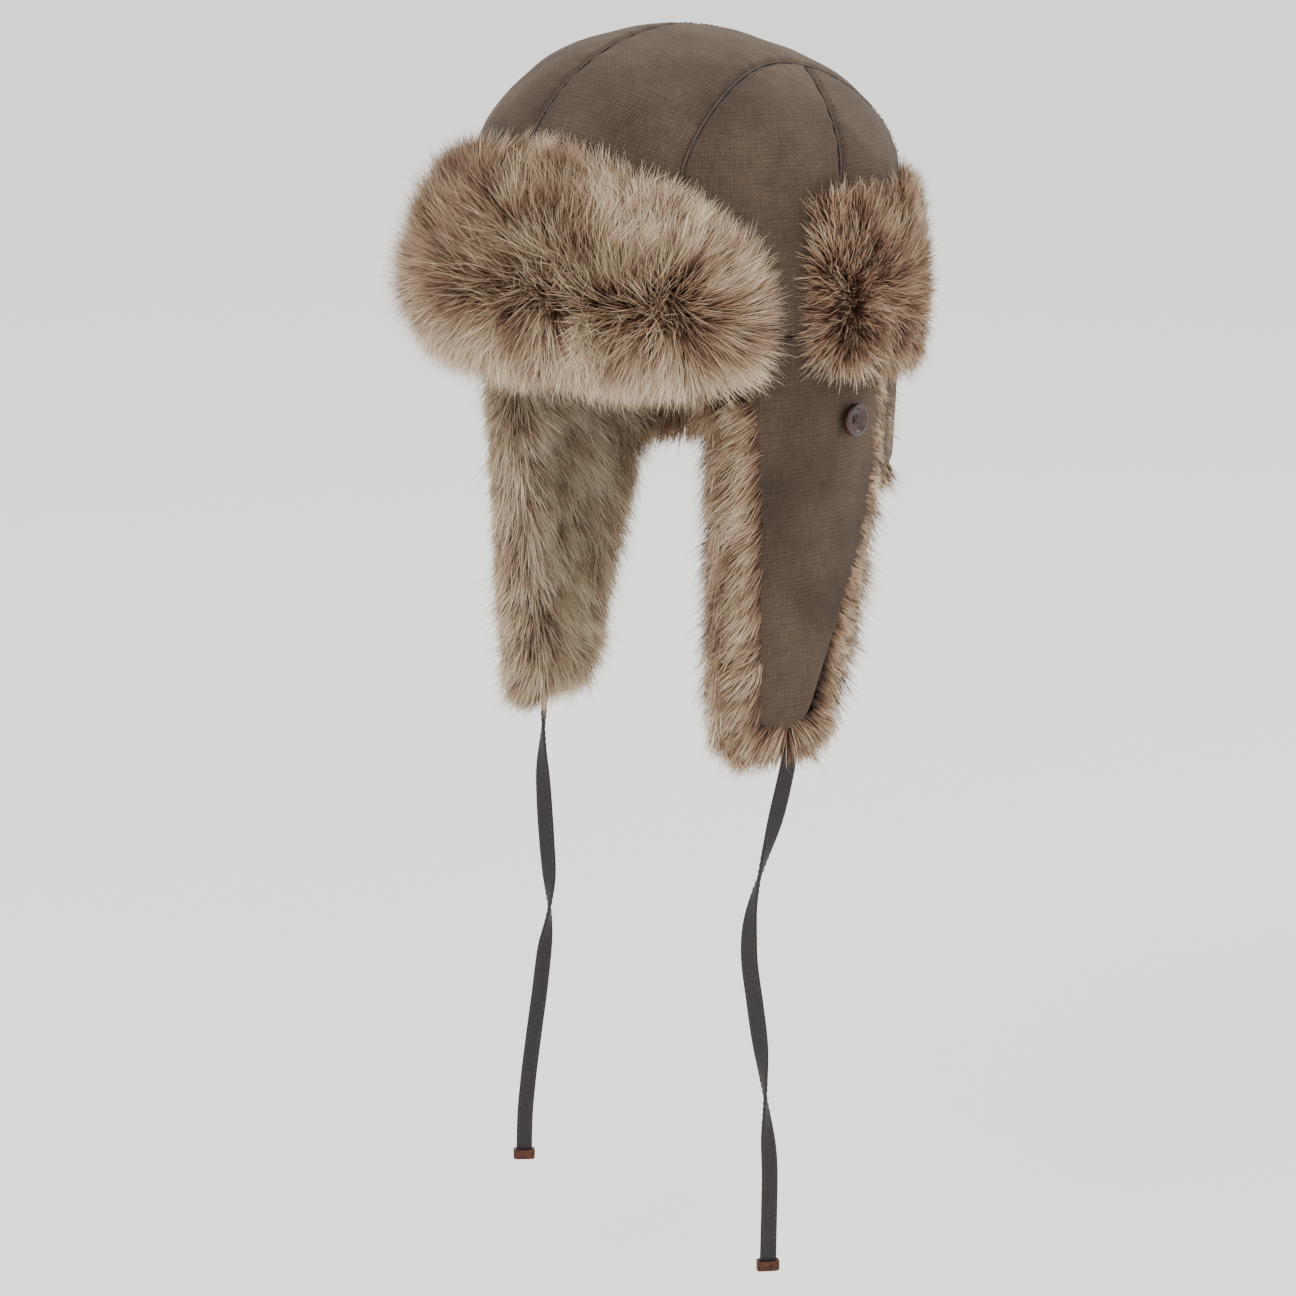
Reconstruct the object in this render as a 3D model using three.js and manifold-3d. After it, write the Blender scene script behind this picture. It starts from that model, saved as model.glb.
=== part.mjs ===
// A winter trapper hat: a woven crown of six panels, a turned-up fur front flap, a fur cuff round the back,
// fur-lined ear flaps that each carry a button and a flat leather chin strap, and a quilted lining.
//
// Frame: millimetres, +Z up, the front of the hat towards -Y and the wearer's left towards +X.
// The origin is the centre of the head opening, at the height of the front rim.
//
// Every soft layer is turned on a round form, then fitted to the oval of a head, so layers that nest on
// the form still nest on the head. Panels, flaps and cuffs are cut from those layers with side-view and
// plan outlines.

import * as THREE from "three";
import { mergeVertices } from "three/addons/utils/BufferGeometryUtils.js";
import Module from "manifold-3d";

const wasm = await Module();
wasm.setup();

// ---- Driving dimensions ------------------------------------------------------------------------

const CROWN_WIDTH = 184; // outside, ear to ear
const CROWN_LENGTH = 206; // outside, front to back
const CROWN_TOP = 144; // highest point above the front rim
const DOME_START = 77; // the crown's wall is upright up to here
const DOME_POWER = 1.8; // 2 is an ellipse, less is more pointed
const CROWN_LEAN = 6; // how far the top of the crown sits forward of its base
const BACK_SLOPE = 8; // how much lower the crown is at its back than at its front

const BROW_RIM = 1; // lower edge of the crown between the ear flaps, at the front
const SEAM_HEIGHT = 9; // seam between crown and skirt, at the sides and back
const FOLD_HEIGHT = -12; // line that the ear flaps turn up along
const NAPE_RIM = -62; // lower edge at the nape
const FLAP_BOTTOM = -174; // lower edge of an ear flap's cloth
const FLAP_FRONT = -46; // the skirt's front edge
const FLAP_REAR = 42; // slit between ear flap and nape panel
const FLAP_CENTRE = -22; // middle of the ear flap's lower end
const FLAP_END_HALF = 15; // half the width of that lower end
const FLAP_TUCK = 6; // how far the flap's lower end hangs in from the upright wall

const CLOTH = 1.2; // waxed canvas with its seam allowance
const WADDING = 3; // between cloth and lining
const LINING = 1.2; // quilted satin
const INTERLINING = 1.2; // stiffener in the ear flaps
const PILE = 14; // fur lining, combed
const PILE_OVER_EDGE = 8; // how far the fur lining stands past the cloth's edge
const BACKING = 1.2; // cloth behind the turned-up fur
const GAP = 0.4; // between layers, and along cut edges

const CENTRE_HALF_FRONT = 66; // the two centre panels' half width on the front wall
const CENTRE_HALF_TOP = 51; // and at their narrowest, over the top of the head
const CENTRE_FRONT_Y = -72; // where that front width starts to narrow
const CENTRE_WAIST_Y = 24; // where they are narrowest
const SIDE_SEAM_TOP_Y = 30; // the side seam meets the centre panels here
const SIDE_SEAM_FOOT_Y = -4; // and runs down and forward to here

const CUFF_THICKNESS = 11; // fur cuff round the back
const CUFF_TOP = 78;
const CUFF_FOOT = -6; // at its ends
const CUFF_FOOT_BACK = -26; // at the middle of the back
const CUFF_END = 1; // y of the cuff's ends, beside the ears

const FLAP_FUR = { proud: 32, foot: -12, top: 108, end: -50, endTop: 66 }; // turned-up front flap
// Its swell: the share of how far it stands proud, and the height above its foot.
const FLAP_SWELL = [[0.45, 0], [0.93, 14], [1, 38], [0.93, 62], [0.6, 88]];
const FLAP_CREST = 0.08; // share of how far it stands proud, at its top
const FLAP_CORNER = { drop: 20, lift: 12, reach: 26, rise: 8, past: 44 }; // rounds its ends' upper corners
const FLAP_BACKING_DROP = 12; // the backing stops this far below its top

// The back cuff's swell: the share of its thickness, and the height above its lowest foot.
const CUFF_SWELL = [[0.6, 0], [1, 16], [1, 80]];
const CUFF_CREST = 0.5; // share of its thickness where the dome starts
const CUFF_CORNER = { back: 12, drop: 14 }; // cuts the upper corners of its ends
const CUFF_BACKING_INSET = 3;

// How the ear flap's side-view outline bends between its fold and its lower end.
const FLAP_EDGE = { frontIn: 6, frontDrop: 70, footIn: 4, footRise: 30, rearIn: 14, rearDrop: 34, heel: 52 };
const FLAP_TOE = { front: 8, rear: 10, frontIn: 6, rearIn: 5 }; // rounds the lower end's corners
const INTERLINING_INSET = 4; // from the cloth's edge

const BUTTON = { diameter: 15, thickness: 4.4, rim: 1.8, dish: 1.2, back: 1.2, edge: 0.8 };
const BUTTON_HOLES = { diameter: 1.8, spread: 1.9 };
const BUTTON_PLACE = { y: 9, z: -32 };
const BUTTON_SHANK = 2.2; // thread between cloth and button
const THREAD = 0.9;

const STRAP_WIDTH = 8;
const STRAP_THICKNESS = 1.6;
const STRAP_GAP = 0.684; // left at the edges of the strap's sewn-in end, to the cloth and to the fur
const STRAP_SEWN = 14; // length of that end
const STRAP_Y = -17; // where the strap leaves the ear flap's lower edge
const CLASP_WALL = 1;
const CLASP_ROOM = { across: 0.5, through: 0.8 }; // each side of the strap, inside the clasp
const CLASP_HEIGHT = 11;
const CLASP_DROP = 2; // how far the clasp stands below the strap's end

const AROUND = 36; // facets round the form
const DOME_STEPS = 7; // and up the dome; every layer has the same, so that they nest
const FORM_RADIUS = (CROWN_WIDTH + CROWN_LENGTH) / 4;
const FAR = 400; // longer than the hat, for cutters that run through it
const SIDES = [["left", 1], ["right", -1]]; // the wearer's, and the way each lies along X

// The flat strap lies between curved layers, so the middle of each side stands off by the curve as well.
const STRAP_CURVE = wallX(STRAP_Y, FLAP_BOTTOM) - wallX(STRAP_Y - STRAP_WIDTH / 2, FLAP_BOTTOM);
const STRAP_CLEARANCE = STRAP_GAP + STRAP_CURVE;
// The fur lining's back lies this far below the cloth's face, which leaves room for a strap's sewn-in end.
const LINING_DEPTH = CLOTH + STRAP_THICKNESS + 2 * STRAP_CLEARANCE;

// ---- Materials ---------------------------------------------------------------------------------

function finish(color, roughness, metalness = 0) {
  return new THREE.MeshStandardMaterial({ color, roughness, metalness });
}

const canvas = finish(0x6b5b4e, 0.85);
const fur = finish(0xa08468, 0.9);
const satin = finish(0x3a2f28, 0.5);
const felt = finish(0x8a8378, 0.95);
const leather = finish(0x2f2a28, 0.55);
const horn = finish(0x5a3626, 0.35);
const thread = finish(0x2b211a, 0.8);
const brass = finish(0x4a3a2c, 0.4, 0.8);

// ---- Solids ------------------------------------------------------------------------------------

/** A closed geometry as a solid that can be joined and cut. */
function solidOf(geometry) {
  const bare = geometry.clone();
  for (const name of Object.keys(bare.attributes)) {
    if (name !== "position") bare.deleteAttribute(name);
  }
  const merged = mergeVertices(bare, 1e-4);
  const mesh = { numProp: 3, vertProperties: merged.attributes.position.array };
  return new wasm.Manifold(new wasm.Mesh({ ...mesh, triVerts: new Uint32Array(merged.index.array) }));
}

/** A solid as a named mesh. */
function piece(name, solid, material) {
  const { numProp, numVert, vertProperties, triVerts } = solid.getMesh();
  const position = new Float32Array(numVert * 3);
  for (let i = 0; i < numVert; i++) {
    position.set(vertProperties.subarray(i * numProp, i * numProp + 3), i * 3);
  }
  const geometry = new THREE.BufferGeometry();
  geometry.setAttribute("position", new THREE.BufferAttribute(position, 3));
  geometry.setIndex(new THREE.BufferAttribute(new Uint32Array(triVerts), 1));
  geometry.computeVertexNormals();
  const mesh = new THREE.Mesh(geometry, material);
  mesh.name = name;
  return mesh;
}

/** A box between two corners. */
function boxBetween(low, high) {
  const size = high.map((v, i) => v - low[i]);
  const middle = high.map((v, i) => (v + low[i]) / 2);
  return solidOf(new THREE.BoxGeometry(...size).translate(...middle));
}

/** A box between two corners given for the wearer's left, put on either side. */
function outwardBox(side, low, high) {
  const box = boxBetween(low, high);
  return side > 0 ? box : box.mirror([1, 0, 0]);
}

/** One side of the hat: 1 is the wearer's left. An allowance keeps it short of the middle. */
function halfOf(side, allowance = 0) {
  const low = side > 0 ? allowance : -FAR;
  const high = side > 0 ? FAR : -allowance;
  return boxBetween([low, -FAR, -FAR], [high, FAR, FAR]);
}

/** A side-view outline, drawn as (y, z), run through the whole hat. */
function sideCut(shape, curveSegments = 8) {
  const geometry = new THREE.ExtrudeGeometry(shape, { depth: 2 * FAR, bevelEnabled: false, curveSegments });
  geometry.translate(0, 0, -FAR);
  const across = new THREE.Vector3(0, 1, 0);
  const up = new THREE.Vector3(0, 0, 1);
  const through = new THREE.Vector3(1, 0, 0);
  return solidOf(geometry.applyMatrix4(new THREE.Matrix4().makeBasis(across, up, through)));
}

/** A plan outline, drawn as (x, y), run up through the whole hat. */
function planCut(shape, curveSegments = 8) {
  const geometry = new THREE.ExtrudeGeometry(shape, { depth: 2 * FAR, bevelEnabled: false, curveSegments });
  return solidOf(geometry.translate(0, 0, -FAR));
}

/** A closed outline through points, straight from one to the next. */
const outline = (points) => new THREE.Shape(points.map(([a, b]) => new THREE.Vector2(a, b)));

// ---- The form ----------------------------------------------------------------------------------

/** How far the skirt hangs in from the upright wall at a height; nothing at the fold and above. */
function tuckAt(z) {
  const down = Math.max(0, (FOLD_HEIGHT - z) / (FOLD_HEIGHT - FLAP_BOTTOM));
  return FLAP_TUCK * down ** 1.5;
}

/** Points (radius, height) up the dome at a depth below its outside, from its start to the axis. */
function domeLine(depth) {
  const line = [];
  const steps = DOME_STEPS;
  for (let i = 0; i <= steps; i++) {
    const angle = (Math.PI / 2) * (i / steps);
    const r = (FORM_RADIUS - depth) * Math.cos(angle) ** (2 / DOME_POWER);
    const z = DOME_START + (CROWN_TOP - DOME_START - depth) * Math.sin(angle) ** (2 / DOME_POWER);
    line.push(new THREE.Vector2(i === steps ? 0 : r, z));
  }
  return line;
}

/** Points up the upright wall at a distance outside it, broken where the form starts to lean. */
function wallLine(distance, low, high = DOME_START) {
  const levels = [low, SEAM_HEIGHT, high].filter((z, i) => i !== 1 || (low < z && z < high));
  return levels.map((z) => new THREE.Vector2(FORM_RADIUS + distance, z));
}

/** Turns a closed profile, drawn outside first from its foot up, round the form and fits it to the head. */
function turnOnForm(profile) {
  const geometry = new THREE.LatheGeometry([...profile, profile[0].clone()], AROUND);
  geometry.rotateX(Math.PI / 2);
  const position = geometry.attributes.position;
  for (let i = 0; i < position.count; i++) {
    const x = (position.getX(i) * CROWN_WIDTH) / (2 * FORM_RADIUS);
    const y = (position.getY(i) * CROWN_LENGTH) / (2 * FORM_RADIUS);
    const z = position.getZ(i);
    const rise = Math.max(0, (z - SEAM_HEIGHT) / (CROWN_TOP - SEAM_HEIGHT));
    const back = y / CROWN_LENGTH + 0.5;
    position.setXYZ(i, x, y - CROWN_LEAN * rise ** 2, z - BACK_SLOPE * back * rise ** 2);
  }
  return solidOf(geometry);
}

/** A layer of the skirt between two depths, from a low to a high edge. */
function skirtLayer(outer, inner, low, high, steps = 6) {
  const line = [];
  for (let i = 0; i <= steps; i++) {
    const z = low + ((high - low) * i) / steps;
    line.push(new THREE.Vector2(FORM_RADIUS - tuckAt(z), z));
  }
  const outside = line.map((p) => new THREE.Vector2(p.x - outer, p.y));
  const inside = line.map((p) => new THREE.Vector2(p.x - inner, p.y)).reverse();
  return turnOnForm([...outside, ...inside]);
}

/** A layer of the crown between two depths: upright from the brow, then domed to the top. */
function crownLayer(outer, inner) {
  const line = (depth) => [...wallLine(-depth, BROW_RIM).slice(0, -1), ...domeLine(depth)];
  return turnOnForm([...line(outer), ...line(inner).reverse()]).subtract(belowSeam());
}

/** What lies below the crown's seam at the sides and back: the skirt's room. */
function belowSeam() {
  return boxBetween([-FAR, FLAP_FRONT - GAP, -FAR], [FAR, FAR, SEAM_HEIGHT + GAP / 2]);
}

// ---- Crown -------------------------------------------------------------------------------------

/** The plan outline of the two centre panels together, grown by an allowance. */
function centreStrip(grow) {
  const front = CENTRE_HALF_FRONT + grow;
  const waist = CENTRE_HALF_TOP + grow;
  const reach = (CENTRE_WAIST_Y - CENTRE_FRONT_Y) / 2;
  const rearY = 2 * CENTRE_WAIST_Y - CENTRE_FRONT_Y;
  const shape = new THREE.Shape();
  shape.moveTo(front, -FAR / 2);
  shape.lineTo(front, CENTRE_FRONT_Y);
  shape.bezierCurveTo(front, CENTRE_FRONT_Y + reach, waist, CENTRE_WAIST_Y - reach, waist, CENTRE_WAIST_Y);
  shape.bezierCurveTo(waist, CENTRE_WAIST_Y + reach, front, rearY - reach, front, rearY);
  shape.lineTo(-front, rearY);
  shape.bezierCurveTo(-front, rearY - reach, -waist, CENTRE_WAIST_Y + reach, -waist, CENTRE_WAIST_Y);
  shape.bezierCurveTo(-waist, CENTRE_WAIST_Y - reach, -front, CENTRE_FRONT_Y + reach, -front, CENTRE_FRONT_Y);
  shape.lineTo(-front, -FAR / 2);
  shape.closePath();
  return planCut(shape);
}

/** Everything in front of the curved side seam (forward true) or behind it, short of it by half a gap. */
function besideSideSeam(forward) {
  const shift = forward ? -GAP / 2 : GAP / 2;
  const wide = forward ? -FAR : FAR;
  const shape = new THREE.Shape();
  shape.moveTo(SIDE_SEAM_FOOT_Y + shift, -FAR);
  shape.lineTo(SIDE_SEAM_FOOT_Y + shift, SEAM_HEIGHT);
  shape.quadraticCurveTo(shift, 0.75 * CROWN_TOP, SIDE_SEAM_TOP_Y + shift, 0.9 * CROWN_TOP);
  shape.lineTo(SIDE_SEAM_TOP_Y + shift, FAR);
  shape.lineTo(wide, FAR);
  shape.lineTo(wide, -FAR);
  shape.closePath();
  return sideCut(shape);
}

function crownPanels() {
  const shell = crownLayer(0, CLOTH);
  const centre = shell.intersect(centreStrip(-GAP / 2));
  const sides = shell.subtract(centreStrip(GAP / 2));
  const panels = [];
  for (const [word, side] of SIDES) {
    panels.push(piece(`crown_centre_${word}`, centre.intersect(halfOf(side, GAP / 2)), canvas));
    const half = sides.intersect(halfOf(side));
    panels.push(piece(`crown_side_front_${word}`, half.intersect(besideSideSeam(true)), canvas));
    panels.push(piece(`crown_side_back_${word}`, half.intersect(besideSideSeam(false)), canvas));
  }
  return panels;
}

/** The quilted lining and the wadding behind it, nested inside the crown. */
function crownInside() {
  const waddingDepth = CLOTH + GAP;
  const liningDepth = waddingDepth + WADDING + GAP;
  const wadding = crownLayer(waddingDepth, waddingDepth + WADDING);
  const lining = crownLayer(liningDepth, liningDepth + LINING);
  const sides = lining.subtract(centreStrip(GAP / 2));
  const pieces = [piece("crown_wadding", wadding, felt)];
  pieces.push(piece("crown_lining_centre", lining.intersect(centreStrip(-GAP / 2)), satin));
  for (const [word, side] of SIDES) {
    pieces.push(piece(`crown_lining_${word}`, sides.intersect(halfOf(side)), satin));
  }
  return pieces;
}

// ---- Skirt: side bands, nape and ear flaps -----------------------------------------------------

/** Side-view outline of an ear flap below its fold, grown by an allowance past its free edges. */
function earFlapOutline(grow) {
  const front = FLAP_FRONT - grow;
  const foot = FLAP_BOTTOM - grow;
  const endFront = FLAP_CENTRE - FLAP_END_HALF - grow;
  const endRear = FLAP_CENTRE + FLAP_END_HALF + grow;
  const edge = FLAP_EDGE;
  const toe = FLAP_TOE;
  const slitFoot = NAPE_RIM + grow / 2;
  const brow = [front + edge.frontIn, FOLD_HEIGHT - edge.frontDrop];
  const cheek = [front + edge.footIn, foot + edge.footRise];
  const heel = [endRear + edge.rearIn, foot + edge.heel];
  const neck = [FLAP_REAR - edge.rearIn, NAPE_RIM - edge.rearDrop];
  const shape = new THREE.Shape();
  shape.moveTo(front, FOLD_HEIGHT);
  shape.bezierCurveTo(...brow, ...cheek, endFront, foot + toe.front);
  shape.quadraticCurveTo(endFront + toe.frontIn, foot, FLAP_CENTRE, foot);
  shape.quadraticCurveTo(endRear - toe.rearIn, foot, endRear, foot + toe.rear);
  shape.bezierCurveTo(...heel, ...neck, FLAP_REAR, slitFoot);
  shape.lineTo(FLAP_REAR, FOLD_HEIGHT);
  shape.closePath();
  return shape;
}

/** The side band between the crown's seam and the ear flap's fold. */
function sideBandCut() {
  const foot = FOLD_HEIGHT + GAP;
  return boxBetween([-FAR, FLAP_FRONT, foot], [FAR, FLAP_REAR, SEAM_HEIGHT - GAP / 2]);
}

/** The nape's room behind the ear flaps' slits, down to a rim that may stand past the cloth's edge. */
function napeCut(grow) {
  return boxBetween([-FAR, FLAP_REAR + GAP, NAPE_RIM - grow], [FAR, FAR, SEAM_HEIGHT - GAP / 2]);
}

function skirtCloth() {
  const layer = skirtLayer(0, CLOTH, NAPE_RIM, SEAM_HEIGHT - GAP / 2, 3);
  const pieces = [piece("nape_panel", layer.intersect(napeCut(0)), canvas)];
  const band = layer.intersect(sideBandCut());
  for (const [word, side] of SIDES) {
    pieces.push(piece(`side_band_${word}`, band.intersect(halfOf(side)), canvas));
  }
  return pieces;
}

function skirtFur() {
  const foot = NAPE_RIM - PILE_OVER_EDGE;
  const layer = skirtLayer(LINING_DEPTH, LINING_DEPTH + PILE, foot, SEAM_HEIGHT - GAP / 2, 3);
  const pieces = [piece("nape_fur_lining", layer.intersect(napeCut(PILE_OVER_EDGE)), fur)];
  const band = layer.intersect(sideBandCut());
  for (const [word, side] of SIDES) {
    pieces.push(piece(`side_band_fur_${word}`, band.intersect(halfOf(side)), fur));
  }
  return pieces;
}

/** One ear flap: cloth shell, stiff interlining and fur lining, with its button. */
function earFlap(word, side) {
  const half = halfOf(side);
  const foot = FLAP_BOTTOM - PILE_OVER_EDGE;
  const layer = (outer, inner) => skirtLayer(outer, inner, foot, FOLD_HEIGHT, 8).intersect(half);
  const interliningDepth = CLOTH + GAP;
  const clothCut = sideCut(earFlapOutline(0));
  const interliningCut = sideCut(earFlapOutline(-INTERLINING_INSET));
  const furCut = sideCut(earFlapOutline(PILE_OVER_EDGE));
  const lining = layer(interliningDepth, interliningDepth + INTERLINING).intersect(interliningCut);
  return [
    piece(`ear_flap_shell_${word}`, layer(0, CLOTH).intersect(clothCut), canvas),
    piece(`ear_flap_interlining_${word}`, lining.subtract(strapRoom(side)), felt),
    piece(`ear_flap_fur_${word}`, layer(LINING_DEPTH, LINING_DEPTH + PILE).intersect(furCut), fur),
    ...button(word, side),
  ];
}

// ---- Turned-up fur -----------------------------------------------------------------------------

/** Round-cornered side-view outline of the front flap, open to the front. */
function frontFlapCut() {
  const { end, endTop, top } = FLAP_FUR;
  const { drop, lift, reach, rise, past } = FLAP_CORNER;
  const shape = new THREE.Shape();
  shape.moveTo(-FAR, -FAR);
  shape.lineTo(end, -FAR);
  shape.lineTo(end, endTop - drop);
  shape.quadraticCurveTo(end, endTop + lift, end - reach, top - rise);
  shape.lineTo(end - past, FAR);
  shape.lineTo(-FAR, FAR);
  shape.closePath();
  return sideCut(shape);
}

/** The crown's wall and lower dome, at a distance outside it, up to a height; it starts at the foot. */
function outsideCrown(distance, foot, top) {
  const dome = domeLine(-distance).filter((p) => p.y < top);
  return [...wallLine(distance, foot).slice(0, -1), ...dome];
}

function frontFlap() {
  const { proud, foot, top } = FLAP_FUR;
  const cut = frontFlapCut();
  const backingTop = top - FLAP_BACKING_DROP;
  const inner = outsideCrown(GAP, BROW_RIM, backingTop).reverse();
  const backing = turnOnForm([...outsideCrown(GAP + BACKING, BROW_RIM, backingTop), ...inner]);
  const bulge = FLAP_SWELL.map(([share, up]) => new THREE.Vector2(FORM_RADIUS + proud * share, foot + up));
  const crest = new THREE.Vector2(FORM_RADIUS + proud * FLAP_CREST, top);
  const furBack = outsideCrown(2 * GAP + BACKING, foot + 4, top - 4).reverse();
  const coat = turnOnForm([...bulge, crest, ...furBack]);
  return [
    piece("front_flap_backing", backing.intersect(cut), canvas),
    piece("front_flap_fur", coat.intersect(cut), fur),
  ];
}

/** Side-view room of the back cuff, whose foot dips towards the middle of the back. */
function backCuffCut(inset) {
  const end = CUFF_END + inset;
  const points = [
    [end, CUFF_FOOT + inset],
    [CROWN_LENGTH / 2, CUFF_FOOT_BACK + inset],
    [FAR, CUFF_FOOT_BACK + inset],
    [FAR, CUFF_TOP - inset],
    [end + CUFF_CORNER.back, CUFF_TOP - inset],
    [end, CUFF_TOP - CUFF_CORNER.drop],
  ];
  return sideCut(outline(points));
}

function backCuff() {
  const line = (distance) => wallLine(distance, CUFF_FOOT_BACK);
  const backing = turnOnForm([...line(GAP + BACKING), ...line(GAP).reverse()]);
  const point = (share, z) => new THREE.Vector2(FORM_RADIUS + share * CUFF_THICKNESS, z);
  const swell = CUFF_SWELL.map(([share, up]) => point(share, CUFF_FOOT_BACK + up));
  const outside = [...swell, point(CUFF_CREST, DOME_START)];
  const coat = turnOnForm([...outside, ...line(2 * GAP + BACKING).reverse()]);
  return [
    piece("back_cuff_backing", backing.intersect(backCuffCut(CUFF_BACKING_INSET)), canvas),
    piece("back_cuff_fur", coat.intersect(backCuffCut(0)), fur),
  ];
}

// ---- Buttons -----------------------------------------------------------------------------------

/** The skirt's outside x at a place on one side. */
function wallX(y, z) {
  const r = FORM_RADIUS - tuckAt(z);
  const along = y / ((r * CROWN_LENGTH) / (2 * FORM_RADIUS));
  return ((r * CROWN_WIDTH) / (2 * FORM_RADIUS)) * Math.sqrt(1 - along ** 2);
}

/** A closed profile turned about an axis that points out sideways from the button's place. */
function turnedOutwards(profile, side, start, facets) {
  const { y, z } = BUTTON_PLACE;
  const geometry = new THREE.LatheGeometry(profile.map(([r, h]) => new THREE.Vector2(r, h)), facets);
  geometry.rotateZ(-side * Math.PI / 2);
  return solidOf(geometry.translate(side * (wallX(y, z) + start), y, z));
}

/** A dished button with two holes, and the thread shank that ties it to the cloth. */
function button(word, side) {
  const { diameter, thickness, rim, dish, back, edge } = BUTTON;
  const { spread } = BUTTON_HOLES;
  const radius = diameter / 2;
  const { y, z } = BUTTON_PLACE;
  const disc = [
    [0, 0],
    [radius - back, 0],
    [radius, back],
    [radius, thickness - edge],
    [radius - rim / 2, thickness],
    [radius - rim, thickness - dish],
    [0, thickness - dish],
  ];
  const turned = turnedOutwards(disc, side, BUTTON_SHANK, 24);
  const bars = (r) => [-spread, spread].map((offset) => {
    const bar = new THREE.CylinderGeometry(r, r, FAR, 10).rotateZ(Math.PI / 2);
    return solidOf(bar.translate(side * FAR / 2, y, z + offset));
  });
  const drilled = bars(BUTTON_HOLES.diameter / 2).reduce((solid, bar) => solid.subtract(bar), turned);
  const cloth = wallX(y, z) + GAP;
  const face = wallX(y, z) + BUTTON_SHANK + thickness - dish + GAP;
  const room = outwardBox(side, [cloth, -FAR, -FAR], [face + THREAD, FAR, FAR]);
  const low = [face, y - THREAD / 2, z - spread];
  const stitch = outwardBox(side, low, [face + THREAD, y + THREAD / 2, z + spread]);
  const strands = bars(THREAD / 2).reduce((solid, bar) => solid.add(bar.intersect(room)), stitch);
  return [piece(`button_${word}`, drilled, horn), piece(`button_thread_${word}`, strands, thread)];
}

// ---- Chin straps -------------------------------------------------------------------------------

// Routes of the straps' middle lines below the places where they leave the ear flaps: outwards, back and up.
const STRAP_ROUTES = {
  left: [
    [0, 0, 0], [0.5, -0.5, -14], [0, -3.5, -28], [-1.5, -8, -46], [-4, -14, -68], [-6, -18, -88],
    [-6.5, -18.5, -109], [-5, -16, -132], [-3.5, -13.5, -154], [-2.5, -11.5, -177], [-2, -10, -196],
    [-1.5, -8.5, -216], [-1.5, -8.5, -238], [-2, -8.5, -267],
  ],
  right: [
    [0, 0, 0], [0, -0.5, -13], [0.5, -1, -32], [1, -1.5, -51], [0.5, -1, -72], [0, 0, -92],
    [-0.5, 1, -112], [0, 1, -132], [1.5, -1, -152], [3, -3, -173], [4.5, -5.5, -194],
    [5.5, -8.5, -216], [6, -11, -238], [6, -12, -260],
  ],
};

/** Where a strap leaves its ear flap, between cloth and fur, seen on the left side. */
function strapExit() {
  return new THREE.Vector3(strapX(FLAP_BOTTOM), STRAP_Y, FLAP_BOTTOM);
}

/** The x of the strap's middle line where it lies between cloth and fur. */
const strapX = (z) => wallX(STRAP_Y, z) - CLOTH - STRAP_CLEARANCE - STRAP_THICKNESS / 2;

function strapPath(word, side) {
  const exit = strapExit();
  const sewn = [strapX(exit.z + STRAP_SEWN), exit.y, exit.z + STRAP_SEWN];
  const free = STRAP_ROUTES[word].map(([x, y, z]) => [exit.x + x, exit.y + y, exit.z + z]);
  return new THREE.CatmullRomCurve3([sewn, ...free].map(([x, y, z]) => new THREE.Vector3(side * x, y, z)));
}

/** The room that the strap's sewn-in end takes out of the layers it lies between. */
function strapRoom(side) {
  const exit = strapExit();
  const half = STRAP_WIDTH / 2 + GAP;
  const up = STRAP_SEWN + 6;
  return outwardBox(side, [0, exit.y - half, FLAP_BOTTOM - up], [FAR, exit.y + half, FLAP_BOTTOM + up]);
}

/** A strap whose flat faces look sideways, and the folded metal clasp on its end. */
function chinStrap(word, side) {
  const path = strapPath(word, side);
  const [w, t] = [STRAP_WIDTH / 2, STRAP_THICKNESS / 2];
  const section = outline([[-w, -t], [w, -t], [w, t], [-w, t]]);
  const geometry = new THREE.ExtrudeGeometry(section, { steps: 36, bevelEnabled: false, extrudePath: path });
  const strap = solidOf(geometry);
  const end = path.getPoint(1);
  const opening = [STRAP_THICKNESS + 2 * CLASP_ROOM.through, STRAP_WIDTH + 2 * CLASP_ROOM.across];
  const [thickness, width] = opening.map((size) => size + 2 * CLASP_WALL);
  const block = (w, h, t, drop) => {
    const low = [end.x - t / 2, end.y - w / 2, end.z - drop];
    return boxBetween(low, [low[0] + t, low[1] + w, low[2] + h]);
  };
  const slot = block(opening[1], CLASP_HEIGHT + 1, opening[0], GAP);
  const clasp = block(width, CLASP_HEIGHT, thickness, CLASP_DROP).subtract(slot);
  return [piece(`chin_strap_${word}`, strap, leather), piece(`strap_clasp_${word}`, clasp, brass)];
}

// ---- Assembly ----------------------------------------------------------------------------------

const hat = new THREE.Group();
hat.add(...crownPanels(), ...crownInside(), ...skirtCloth(), ...skirtFur(), ...frontFlap(), ...backCuff());
for (const [word, side] of SIDES) hat.add(...earFlap(word, side), ...chinStrap(word, side));

export default hat;
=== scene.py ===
"""Looks of a winter trapper hat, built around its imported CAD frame.

Every length in this file is in millimetres until a mesh is made, where MM turns it to metres. The frame is
the CAD's: +Z up, the front of the hat towards -Y, the wearer's left towards +X, the origin in the opening.
"""

import logging
import math
from dataclasses import dataclass, field
from enum import Enum
from typing import Sequence

import bpy
import numpy as np
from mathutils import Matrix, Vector, noise
from mathutils.kdtree import KDTree


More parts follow.
